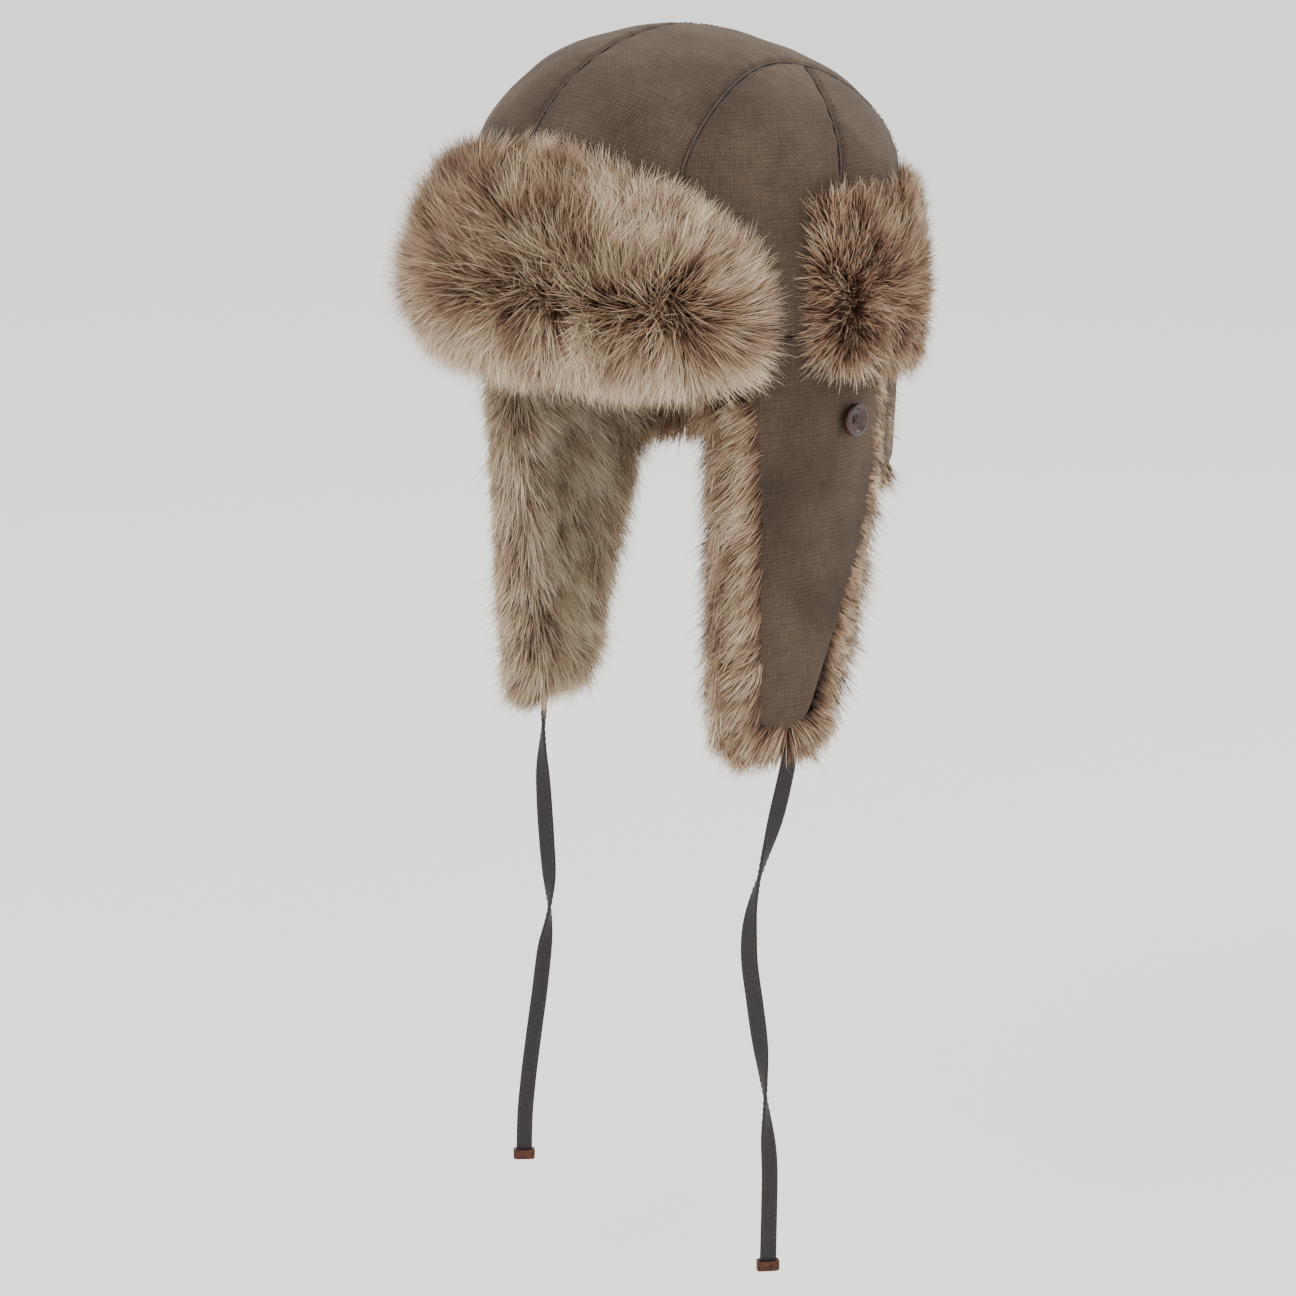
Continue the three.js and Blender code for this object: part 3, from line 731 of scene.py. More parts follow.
        # A strand keeps its length whichever way it leans.
        leaning = self._vector("ADD", lay, self._vector("SCALE", up, scale=given["Lift"]))
        size = self._add("ShaderNodeVectorMath", {0: leaning}, operation="LENGTH").outputs["Value"]
        length = self._number("DIVIDE", length, self._number("MAXIMUM", size, 0.8))
        height = self._number("MULTIPLY", self._number("MULTIPLY", rise, given["Lift"]), length)
        raised = self._vector("SCALE", up, scale=height)
        laid = self._vector("SCALE", lay, scale=self._number("MULTIPLY", reach, length))
        cell = self._number("DIVIDE", 1.0, given["Lock"])
        lock = self._add("ShaderNodeTexVoronoi", {"Vector": root, "Scale": cell}, feature="F1")
        pull = self._number("MULTIPLY", given["Clump"], self._number("POWER", along, 1.6))
        gathered = self._vector("SCALE", self._vector("SUBTRACT", lock.outputs["Position"], root), scale=pull)
        spine = self._vector("ADD", self._vector("ADD", root, raised), self._vector("ADD", laid, gathered))
        askew = self._vector("ADD", lay, self._vector("SCALE", shake, scale=0.3))
        edge = self._vector("NORMALIZE", self._vector("CROSS_PRODUCT", askew, up))
        angle = self._number("MULTIPLY", self._number("SUBTRACT", turn, 0.5), 2.2)
        wide = self._vector("SCALE", edge, scale=self._number("COSINE", angle))
        deep = self._vector("SCALE", up, scale=self._number("SINE", angle))
        taper = self._number("SUBTRACT", 1.08, self._number("POWER", along, 1.7))
        half = self._number("MULTIPLY", self._number("MULTIPLY", across, given["Width"]), taper)
        beside = self._vector("SCALE", self._vector("ADD", wide, deep), scale=half)
        place = self._vector("ADD", spine, beside)
        return self._add("GeometryNodeSetPosition", {"Geometry": strands, "Position": place}).outputs[0]

    def _finished(self, strands: bpy.types.NodeSocket, given: object) -> None:
        """Gives strands their tone, drops what only the bending needed, and sets the finish.

        Args:
            strands: the strands so far.
            given: the tree's named inputs.
        """
        root = self._named("root", "FLOAT_VECTOR")
        patch = self._add("ShaderNodeTexNoise", {"Vector": root, "Scale": 110.0, "Detail": 4.0})
        own = self._number("SUBTRACT", self._named("chance"), 0.5)
        spread = self._number("MULTIPLY_ADD", own, 0.6, self._named("fur_shade"))
        shared = self._number("SUBTRACT", patch.outputs["Fac"], 0.5)
        patchy = self._number("MULTIPLY_ADD", shared, 1.5, spread)
        tone = self._number("ADD", patchy, given["Tone"])
        strands = self._kept(strands, "fur_tone", self._add("ShaderNodeClamp", {"Value": tone}).outputs[0])
        for name in self.PASSING:
            strands = self._add("GeometryNodeRemoveAttribute", {"Geometry": strands, "Name": name}).outputs[0]
        solid = self._add("GeometryNodeRealizeInstances", {"Geometry": strands}).outputs[0]
        dressed = self._add("GeometryNodeSetMaterial", {"Geometry": solid, "Material": given["Finish"]})
        self._add("NodeGroupOutput", {0: dressed.outputs[0]})

    def grow(
        self, name: str, guide: bpy.types.Object, cut: FurCut, finish: bpy.types.Material, seed: int
    ) -> bpy.types.Object:
        """Grows one layer of fur.

        Args:
            name: the layer's name.
            guide: surface with fur_comb, fur_length, fur_density and fur_shade on its vertices.
            cut: how the layer is cut.
            finish: its material.
            seed: fixed seed of its chances.

        Returns:
            A plain mesh of strands.
        """
        mesh = guide.data.copy()
        layer = bpy.data.objects.new(name, mesh)
        bpy.context.scene.collection.objects.link(layer)
        modifier = layer.modifiers.new("Fur", "NODES")
        modifier.node_group = self.tree
        values = {
            "Density": cut.density / MM**2 * 1.0,
            "Length": cut.length * MM,
            "Width": cut.width * MM,
            "Lift": cut.lift,
            "Clump": cut.clump,
            "Lock": cut.lock * MM,
            "Stray": cut.stray,
            "Tone": cut.tone,
            "Segments": cut.segments,
            "Seed": seed,
            "Finish": finish,
        }
        for key, value in values.items():
            modifier[self.sockets[key]] = value
        baked(layer)
        layer.data.name = name
        bpy.data.meshes.remove(mesh)
        log.info("%s: %d faces of fur", name, len(layer.data.polygons))
        return layer


# ---- Sewing ------------------------------------------------------------------------------------


class StitchTree:
    """The Geometry Nodes tree that lays stitches along a line."""

    SIZES = (
        ("Pitch", "NodeSocketFloat"),
        ("Length", "NodeSocketFloat"),
        ("Thickness", "NodeSocketFloat"),
        ("Finish", "NodeSocketMaterial"),
    )

    def __init__(self) -> None:
        """Builds the tree."""
        tree = self.tree = bpy.data.node_groups.new("stitches", "GeometryNodeTree")
        face = tree.interface
        face.new_socket("Line", in_out="INPUT", socket_type="NodeSocketGeometry")
        made = {n: face.new_socket(n, in_out="INPUT", socket_type=k) for n, k in self.SIZES}
        self.sockets = {n: socket.identifier for n, socket in made.items()}
        face.new_socket("Stitches", in_out="OUTPUT", socket_type="NodeSocketGeometry")
        given = node(tree, "NodeGroupInput").outputs
        line = node(tree, "GeometryNodeMeshToCurve", {"Mesh": given["Line"]}).outputs[0]
        spaced = {"Curve": line, "Length": given["Pitch"]}
        dots = node(tree, "GeometryNodeCurveToPoints", spaced, mode="LENGTH").outputs
        bead = node(tree, "GeometryNodeMeshIcoSphere", {"Radius": 0.5, "Subdivisions": 2}).outputs[0]
        thick = given["Thickness"]
        size = node(tree, "ShaderNodeCombineXYZ", {0: thick, 1: thick, 2: given["Length"]}).outputs[0]
        inputs = {"Points": dots["Points"], "Instance": bead, "Rotation": dots["Rotation"], "Scale": size}
        laid = node(tree, "GeometryNodeInstanceOnPoints", inputs).outputs[0]
        solid = node(tree, "GeometryNodeRealizeInstances", {"Geometry": laid}).outputs[0]
        dressed = node(tree, "GeometryNodeSetMaterial", {"Geometry": solid, "Material": given["Finish"]})
        node(tree, "NodeGroupOutput", {0: dressed.outputs[0]})

    def sew(
        self,
        name: str,
        lines: Sequence[np.ndarray],
        finish: bpy.types.Material,
        pitch: float,
        length: float,
        thickness: float,
    ) -> bpy.types.Object:
        """Sews stitches along lines.

        Args:
            name: the piece's name.
            lines: each (n, 3) points in mm.
            finish: thread material.
            pitch: mm from stitch to stitch.
            length: mm of each stitch that shows.
            thickness: mm of the thread.

        Returns:
            A plain mesh of stitches.
        """
        points = np.vstack(lines)
        edges, start = [], 0
        for line in lines:
            edges += [(start + i, start + i + 1) for i in range(len(line) - 1)]
            start += len(line)
        mesh = bpy.data.meshes.new(name)
        mesh.from_pydata((points * MM).tolist(), edges, [])
        obj = bpy.data.objects.new(name, mesh)
        bpy.context.scene.collection.objects.link(obj)
        modifier = obj.modifiers.new("Stitches", "NODES")
        modifier.node_group = self.tree
        values = {"Pitch": pitch * MM, "Length": length * MM, "Thickness": thickness * MM, "Finish": finish}
        for key, value in values.items():
            modifier[self.sockets[key]] = value
        return baked(obj)


# ---- Crown -------------------------------------------------------------------------------------


class Panel(Enum):
    """The crown's cloth panels, told by where a place lies among the seams."""

    CENTRE_LEFT = "crown_centre_left"
    CENTRE_RIGHT = "crown_centre_right"
    FRONT_LEFT = "crown_side_front_left"
    FRONT_RIGHT = "crown_side_front_right"
    BACK_LEFT = "crown_side_back_left"
    BACK_RIGHT = "crown_side_back_right"


@dataclass
class Crown:
    """The six-panel crown with its seams, stitching and quilted lining."""

    wardrobe: Wardrobe
    stitches: StitchTree
    half_front: float = 66.0  # the centre panels' half width on the front wall
    half_top: float = 51.0  # and at their narrowest
    front_y: float = -72.0
    waist_y: float = 24.0
    side_top_y: float = 30.0
    side_foot_y: float = -4.0
    valley_mm: float = 1.5
    around: int = 300
    up: int = 150
    quilt_mm: float = 34.0
    flap_front: float = -46.2  # behind this the cloth ends at the skirt's seam

    def half_width(self, y: np.ndarray) -> np.ndarray:
        """Half width of the two centre panels at a y."""
        s = np.clip(np.abs(y - self.waist_y) / (self.waist_y - self.front_y), 0, 1)
        return self.half_top + (self.half_front - self.half_top) * (3 * s**2 - 2 * s**3)

    def side_seam_y(self, z: np.ndarray) -> np.ndarray:
        """Where the side seam is at a height.

        Args:
            z: heights in mm.

        Returns:
            Places from front to back, in mm.
        """
        t = np.linspace(0, 1, 60)
        y = (1 - t) ** 2 * self.side_foot_y + t**2 * self.side_top_y
        h = (1 - t) ** 2 * FORM.seam + 2 * t * (1 - t) * 0.75 * FORM.top + t**2 * 0.9 * FORM.top
        return np.interp(z, h, y)

    def seam_lines(self) -> list[np.ndarray]:
        """The seams as lines of points in mm.

        Returns:
            Each line as (n, 3) points.
        """
        r, fit_y = FORM.radius, FORM.length / (2 * FORM.radius)
        fit_x = FORM.width / (2 * r)
        wall = np.linspace(FORM.brow, FORM.dome_start, 60)
        over = np.linspace(-r, r, 400)
        ridge = FORM.over_plan(0 * over, over)
        walls = [FORM.crown(np.full(60, a), h, 0.0) for a, h in ((0.0, wall[::-1]), (math.pi, wall[::-1]))]
        lines = [np.vstack([walls[0][::-1], ridge, walls[1]])]
        for side in (1, -1):
            y = np.linspace(-110, 110, 500)
            x = side * self.half_width(y)
            px, py = x / fit_x, y / fit_y
            inside = np.hypot(px, py) < r
            px, py = px[inside], py[inside]
            angles = np.arctan2(px[[0, -1]], -py[[0, -1]])
            ends = [FORM.crown(np.full(60, a), wall, 0.0) for a in angles]
            lines.append(np.vstack([ends[0], FORM.over_plan(px, py), ends[1][::-1]]))
            z = np.linspace(FORM.seam, 0.98 * FORM.top, 300)
            side_line = self._side_line(side, z)
            lines.append(side_line[np.abs(side_line[:, 0]) > self.half_width(side_line[:, 1]) - 0.4])
        return lines

    def _side_line(self, side: int, z: np.ndarray) -> np.ndarray:
        """The side seam's points on the form's outside.

        Args:
            side: 1 on the wearer's left, -1 on the right.
            z: heights in mm.

        Returns:
            (n, 3) points.
        """
        y = self.side_seam_y(z)
        rise = np.clip((z - FORM.dome_start) / (FORM.top - FORM.dome_start), 0, 1)
        r = FORM.radius * (1 - rise**FORM.power) ** (1 / FORM.power)
        along = y * 2 * FORM.radius / FORM.length
        x = side * np.sqrt(np.maximum(r**2 - along**2, 0))
        return FORM.fitted(x, along, z)

    def cloth(self) -> bpy.types.Object:
        """One sewn cloth: valleys and puckers along its seams, soft bulges between them.

        Returns:
            The closed cloth.
        """
        lines = self.seam_lines()
        angle = np.linspace(-math.pi, math.pi, self.around, endpoint=False)
        wall = np.linspace(0, 1, self.up // 3, endpoint=False)[:, None]
        over = FORM.dome_start + np.linspace(0, FORM.dome_arc * 0.995, 2 * self.up // 3)[:, None]
        behind = -FORM.length / 2 * np.cos(angle) > self.flap_front
        foot = np.where(behind, FORM.seam, FORM.brow)
        h = np.vstack([foot + wall * (FORM.dome_start - foot), over + 0 * angle])
        a = angle + 0 * h
        flat = FORM.crown(a, h, 0.0).reshape(-1, 3)
        lifted = FORM.crown(a, h, 1.0).reshape(-1, 3)
        outward = unit(lifted - flat)
        distance, run = self._to_seams(flat, lines)
        at_skirt = (behind + 0 * h).ravel() > 0
        distance = np.where(at_skirt, np.minimum(distance, h.ravel() - FORM.seam), distance)
        near = np.exp(-((distance / 2.0) ** 2))
        pucker = np.sin(run / 2.1 + 3 * noise_at(flat, 14, 1)) * np.exp(-((distance / 8) ** 2)) * 0.28
        soft = 1.5 * noise_at(flat, 46, 2) + 0.8 * noise_at(flat, 17, 3)
        wide = 1 - np.exp(-((distance / 16) ** 2))
        shift = -self.valley_mm * near + 0.5 * wide + pucker + soft * wide
        points = flat + outward * shift[:, None]
        uv = self._cloth_uv(flat, a.ravel(), h.ravel())
        rows, columns = h.shape
        faces = [*grid_faces(rows, columns, wrap=True), [(rows - 1) * columns + i for i in range(columns)]]
        # Painted shade: seam is 1 down each seam's valley, where the canvas colour is darkened.
        seam = np.exp(-((distance / 1.1) ** 2))
        obj = mesh_piece("crown_cloth", points, faces, self.wardrobe.canvas, uv, {"seam": seam})
        return thickened(obj, 1.0)

    def _to_seams(self, points: np.ndarray, lines: list[np.ndarray]) -> tuple[np.ndarray, np.ndarray]:
        """Distance of each point to the nearest seam, and how far along that seam, in mm.

        Args:
            points: points in mm.
            lines: the seams, each (n, 3) in mm.

        Returns:
            Both, in mm.
        """
        dense = [spline(line[:: max(1, len(line) // 60)], 700) for line in lines]
        tree = KDTree(sum(map(len, dense)))
        run, index = [], 0
        for line in dense:
            steps = np.concatenate([[0], np.cumsum(np.linalg.norm(np.diff(line, axis=0), axis=1))])
            for p, s in zip(line, steps):
                tree.insert(p, index)
                run.append(s)
                index += 1
        tree.balance()
        found = [tree.find(p) for p in points]
        return np.array([f[2] for f in found]), np.array([run[f[1]] for f in found])

    def _cloth_uv(self, points: np.ndarray, angle: np.ndarray, height: np.ndarray) -> np.ndarray:
        """Thread directions in mm: front to back on the centre panels, upright on the side panels.

        Args:
            points: points in mm.
            angle: radians round from the front.
            height: heights in mm.

        Returns:
            (n, 2) in mm.
        """
        centre = np.abs(points[:, 0]) < self.half_width(points[:, 1])
        over = np.arctan2(points[:, 2] - 40, -points[:, 1]) * 105
        side_uv = np.stack([angle * FORM.radius, height], -1)
        centre_uv = np.stack([points[:, 0], over], -1)
        return np.where(centre[:, None], centre_uv, side_uv)

    def lining(self) -> bpy.types.Object:
        """Diamond-quilted satin inside the crown.

        Returns:
            The closed lining.
        """
        angle = np.linspace(-math.pi, math.pi, 180, endpoint=False)
        wall = np.linspace(FORM.brow + 1, FORM.dome_start, 40, endpoint=False)
        height = np.concatenate([wall, FORM.dome_start + np.linspace(0, FORM.dome_arc * 0.99, 70)])
        h, a = np.meshgrid(height, angle, indexing="ij")
        across, rise = a * FORM.radius, h
        turns = math.pi / self.quilt_mm
        quilt = np.abs(np.sin((across + rise) * turns)) * np.abs(np.sin((across - rise) * turns))
        points = FORM.crown(a, h, -4.0 - 3.0 * np.sqrt(quilt)).reshape(-1, 3)
        low = h.ravel() < FORM.seam
        behind = points[:, 1] > -46
        points[low & behind, 2] = np.maximum(points[low & behind, 2], FORM.seam)
        rows, columns = h.shape
        top = [(rows - 1) * columns + i for i in reversed(range(columns))]
        faces = [*grid_faces(rows, columns, flip=True, wrap=True), top]
        obj = mesh_piece("crown_quilted_lining", points, faces, self.wardrobe.satin)
        return thickened(obj, 0.8)

    def topstitching(self) -> bpy.types.Object:
        """A row of stitches close beside every seam.

        Returns:
            The stitches.
        """
        rows = []
        for line in self.seam_lines():
            line = spline(line[:: max(1, len(line) // 60)], 400)
            along = unit(np.gradient(line, axis=0))
            out = unit(line - HEART)
            rows.append(line + np.cross(along, out) * 2.6 + out * 0.25)
        return self.stitches.sew("crown_topstitching", rows, self.wardrobe.cord, 3.4, 2.2, 0.4)

    def seam_shade_lines(self) -> bpy.types.Object:
        """Painted shade: a fine dark line of thread colour down every seam's valley.

        Returns:
            The lines of painted shade.
        """
        tubes = []
        for line in self.seam_lines():
            line = spline(line[:: max(1, len(line) // 60)], 240)
            out = unit(line - HEART)
            # Dark tubes sunk in the seam valleys, standing in for the shade there.
            tubes.append(tube_points(line - out * 1.0, 0.55, 8))
        return joined("crown_seam_painted_shade", tubes, self.wardrobe.cord)

    def build(self) -> None:
        """Builds and dresses the crown."""
        cloth = self.cloth()
        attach(cloth, "crown")
        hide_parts(*[panel.value for panel in Panel])
        lining = self.lining()
        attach(lining, "crown")
        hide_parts("crown_wadding", "crown_lining_centre", "crown_lining_left", "crown_lining_right")
        thread = self.topstitching()
        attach(thread, "crown")
        seam_shade_lines = self.seam_shade_lines()
        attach(seam_shade_lines, "crown")
        log.info("crown: cloth, quilted lining and topstitching")


# ---- Skirt: ear flaps and nape -----------------------------------------------------------------


def edge_rise(distance: np.ndarray, width: float) -> np.ndarray:
    """A rounded edge: 0 at the edge, 1 a width in from it, steep at first."""
    return np.sqrt(np.clip(1 - (1 - np.clip(distance / width, 0, 1)) ** 2, 0, 1))


def turned_to(points: np.ndarray, faces: np.ndarray, outward: np.ndarray) -> np.ndarray:
    """Faces turned so that on average they look along a direction given at each point.

    Args:
        points: points in mm.
        faces: vertex indices of each face.
        outward: the way out at each point.

    Returns:
        The faces, as given or turned over.
    """
    a, b, c = (points[faces[:, i]] for i in range(3))
    agree = np.einsum("ij,ij->i", np.cross(b - a, c - a), outward[faces[:, 0]])
    return faces[:, ::-1] if agree.sum() < 0 else faces


@dataclass
class FurPad:
    """A guide surface for fur: its points with which way, how long and how light the fur is there."""

    name: str
    points: np.ndarray  # (rows, columns, 3)
    outward: np.ndarray
    comb: np.ndarray
    length: np.ndarray
    shade: np.ndarray
    density: np.ndarray

    def guide(self, material: bpy.types.Material) -> bpy.types.Object:
        """Makes the guide as an open surface that faces outwards.

        Args:
            material: its finish.

        Returns:
            The surface.
        """
        rows, columns = self.points.shape[:2]
        points = self.points.reshape(-1, 3)
        faces = turned_to(points, grid_faces(rows, columns), self.outward.reshape(-1, 3))
        values = {
            "fur_comb": self.comb.reshape(-1, 3),
            "fur_length": np.broadcast_to(self.length, (rows, columns)).ravel(),
            "fur_shade": np.broadcast_to(self.shade, (rows, columns)).ravel(),
            "fur_density": np.broadcast_to(self.density, (rows, columns)).ravel(),
        }
        return mesh_piece(self.name, points, faces, material, attributes=values)


@dataclass
class FlapOutline:
    """Side-view outline of an ear flap, as the y of its two edges at each height."""

    front: float = -46.0
    rear: float = 42.0
    centre: float = -22.0
    end_half: float = 15.0

    def edges(self, z: np.ndarray, grow: float = 0.0) -> tuple[np.ndarray, np.ndarray]:
        """The y of the front and the rear edge at heights, grown by an allowance.

        Args:
            z: heights in mm.
            grow: mm by which it stands past the cloth.

        Returns:
            Both, in mm.
        """
        foot = FORM.flap_bottom - grow
        front, end_front = self.front - grow, self.centre - self.end_half - grow
        end_rear = self.centre + self.end_half + grow
        t = np.linspace(0, 1, 40)[:, None]

        def cubic(*p: tuple[float, float]) -> np.ndarray:
            """Points of a cubic curve."""
            a, b, c, d = map(np.array, p)
            return (1 - t) ** 3 * a + 3 * (1 - t) ** 2 * t * b + 3 * (1 - t) * t**2 * c + t**3 * d

        def quadratic(*p: tuple[float, float]) -> np.ndarray:
            """Points of a quadratic curve."""
            a, b, c = map(np.array, p)
            return (1 - t) ** 2 * a + 2 * (1 - t) * t * b + t**2 * c

        start = (front, FORM.fold)
        end_rear += 0.5 * grow
        corner, hollow = (self.rear, FORM.nape_rim + grow / 2), (self.rear - 14, FORM.nape_rim - 34)
        ahead = np.vstack([
            [(front, FORM.seam + 5)],
            cubic(start, (front + 6, FORM.fold - 70), (front + 4, foot + 30), (end_front, foot + 8)),
            quadratic((end_front, foot + 8), (end_front + 6, foot), (self.centre, foot)),
        ])
        behind = np.vstack([
            [(self.rear, FORM.seam + 5)],
            cubic(corner, hollow, (end_rear + 14, foot + 52), (end_rear, foot + 10)),
            quadratic((end_rear, foot + 10), (end_rear - 5, foot), (self.centre, foot)),
        ])
        return tuple(np.interp(-z, -line[:, 1], line[:, 0]) for line in (ahead, behind))


@dataclass
class EarFlap:
    """One ear flap with its side band: canvas outside, fur inside, a button."""

    word: str
    wardrobe: Wardrobe
    fur: FurTree
    outline: FlapOutline = field(default_factory=FlapOutline)
    hinge_out: float = 8.0
    fur_over: float = 9.0  # how far the hide stands past the cloth's edge
    button_y: float = 9.0
    button_z: float = -32.0

    @property
    def side(self) -> int:
        """1 on the wearer's left, -1 on the right."""
        return SIDES[self.word]

    def _grid(self, rows: int, columns: int, grow: float, top: float) -> tuple[np.ndarray, ...]:
        """Rows of places over the flap: y, z and the distance in from the nearest free edge.

        Args:
            rows: how many rows.
            columns: how many columns.
            grow: mm by which it stands past the cloth.
            top: where it starts, in mm.

        Returns:
            y, z, the distance in, and the share across.
        """
        foot = FORM.flap_bottom - grow
        v = np.linspace(0, 1, rows)
        z = top + (foot + 0.4 - top) * np.sin(v * math.pi / 2) ** 0.9
        front, rear = self.outline.edges(z, grow)
        f = np.linspace(0, 1, columns)[None, :]
        y = front[:, None] + (rear - front)[:, None] * f
        z = np.repeat(z[:, None], columns, 1)
        inset = np.minimum(y - front[:, None], rear[:, None] - y)
        return y, z, np.minimum(inset, np.abs(z - foot)), f

    def shell(self) -> bpy.types.Object:
        """The canvas from the crown's seam down, softly creased, its edges rolled in.

        Returns:
            The closed cloth.
        """
        y, z, inset, _ = self._grid(210, 92, 0.0, FORM.seam - 0.3)
        seed = 5 + self.side
        flat = FORM.skirt_at(y, z, 0.0, self.side)
        crease = noise_at((flat * np.array([1, 1, 0.45])).reshape(-1, 3), 26, seed).reshape(y.shape)
        fine = noise_at(flat.reshape(-1, 3), 9, seed + 4).reshape(y.shape)
        from_seam = FORM.seam - z
        out = 0.9 * edge_rise(inset, 5) - 0.9 + 1.3 * crease * edge_rise(inset, 20) + 0.22 * fine
        out = out - 1.4 * np.exp(-((from_seam / 2.5) ** 2)) + 0.35 * np.sin(y / 2.4) * np.exp(-from_seam / 5)
        points = FORM.skirt_at(y, z, out, self.side).reshape(-1, 3)
        outward = np.array([[self.side, 0.0, 0.0]]).repeat(len(points), 0)
        faces = turned_to(points, grid_faces(*y.shape), outward)
        uv = np.stack([y, z], -1).reshape(-1, 2)
        # Painted shade: seam is 1 along the crown's seam, where the canvas colour is darkened.
        seam = np.exp(-((from_seam / 1.3) ** 2)).ravel()
        name = f"ear_flap_cloth_{self.word}"
        return thickened(mesh_piece(name, points, faces, self.wardrobe.canvas, uv, {"seam": seam}), 1.1)

    def pad(self) -> FurPad:
        """The fur side: combed down, and outwards over the free edges.

        Returns:
            Its guide.
        """
        y, z, inset, f = self._grid(76, 48, self.fur_over, FORM.seam - 1)
        depth = 3.5 + 12.5 * edge_rise(inset, 13)
        points = FORM.skirt_at(y, z, -depth, self.side)
        outward = np.stack([-self.side + 0 * y, 0 * y, 0 * y], -1)
        near = np.exp(-inset / 8)
        ahead = np.where(f < 0.5, -1.0, 1.0) * near
        low = np.exp(-(z - FORM.flap_bottom + self.fur_over) / 14)
        wave = noise_at(points.reshape(-1, 3), 30, 11 + self.side).reshape(y.shape)
        swirl = noise_at(points.reshape(-1, 3), 18, 15 + self.side).reshape(y.shape)
        along = 0.8 * ahead + 0.55 * wave + 0.35 * swirl
        comb = np.stack([0 * y, along, -0.75 - 0.4 * low - 0.25 * swirl], -1)
        length = 0.72 + 0.28 * edge_rise(FORM.seam - z, 30)
        # Painted shade: the fur is darkened just below the crown's seam, up inside the hat.
        painted_shade_at_top = 0.12 * np.exp(-(((FORM.seam - z) / 30) ** 2))
        shade = 0.48 + 0.12 * wave + 0.12 * swirl + 0.12 * low - painted_shade_at_top
        return FurPad(f"ear_flap_hide_{self.word}", points, outward, comb, length, shade, np.ones_like(y))

    def rim(self) -> FurPad:
        """The hide where it shows past the cloth: fur that lies outwards over the free edges.

        Returns:
            Its guide.
        """
        y, z, inset, f = self._grid(110, 90, self.fur_over, FORM.fold - 4)
        points = FORM.skirt_at(y, z, -1.6 - 2.2 * np.exp(-inset / 3), self.side)
        outward = np.stack([self.side + 0 * y, 0 * y, 0 * y], -1)
        low = np.exp(-(z - FORM.flap_bottom + self.fur_over) / 14)
        swirl = noise_at(points.reshape(-1, 3), 16, 25 + self.side).reshape(y.shape)
        ahead = np.where(f < 0.5, -1.0, 1.0) * (1 - 0.6 * low)
        comb = np.stack([0 * y, 0.8 * ahead + 0.3 * swirl, -0.55 - 0.5 * low + 0.3 * swirl], -1)
        shade = 0.46 + 0.12 * swirl + 0 * y
        length = np.where((f > 0.5) & (low < 0.35), 0.62, 1.0)
        density = (inset < self.fur_over + 6) * 1.0
        return FurPad(f"ear_flap_rim_{self.word}", points, outward, comb, length, shade, density)

    def _folds(self, piece: bpy.types.Object) -> None:
        """Bakes a piece's transform into its mesh; nothing is bent over the fold.

        Args:
            piece: the piece whose transform is baked.
        """
        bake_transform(piece)

    def build(self) -> None:
        """Builds and dresses the ear flap."""
        word, body = self.word, f"ear_flap_{self.word}"
        shell = self.shell()
        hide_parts(f"ear_flap_shell_{word}", f"side_band_{word}")
        self._folds(shell)
        hide = self.pad().guide(self.wardrobe.hide)
        under = FurCut(0.95, 14, 0.64, lift=0.6, clump=0.3, lock=4, stray=0.6, tone=-0.14)
        coat = FurCut(1.05, 20, 0.4, lift=0.55, clump=0.5, lock=6, stray=0.65, tone=0.04)
        # Painted light: the far flap on the right gets a lighter copy of the same fur, for the key light on
        # it.
        finish = self.wardrobe.front_fur if self.side > 0 else self.wardrobe.far_flap_lit_fur
        layers = [
            self.fur.grow(f"ear_flap_underfur_{word}", hide, under, finish, 31 + self.side),
            self.fur.grow(f"ear_flap_coat_{word}", hide, coat, finish, 41 + self.side),
        ]
        rim = self.rim().guide(self.wardrobe.hide)
        over = FurCut(1.9, 16, 0.42, lift=0.28, clump=0.45, lock=5.5, stray=0.5, tone=0.0)
        layers.append(self.fur.grow(f"ear_flap_edge_fur_{word}", rim, over, finish, 45 + self.side))
        bpy.data.objects.remove(rim)
        for layer in layers:
            self._folds(layer)
        thickened(hide, 1.2)
        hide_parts(f"ear_flap_fur_{word}", f"side_band_fur_{word}", f"ear_flap_interlining_{word}")
        self._folds(hide)
        button = Button(word, self.wardrobe, self.button_y, self.button_z)
        button.build(body)
        log.info("ear flap %s: cloth, hide, three fur layers, button", word)


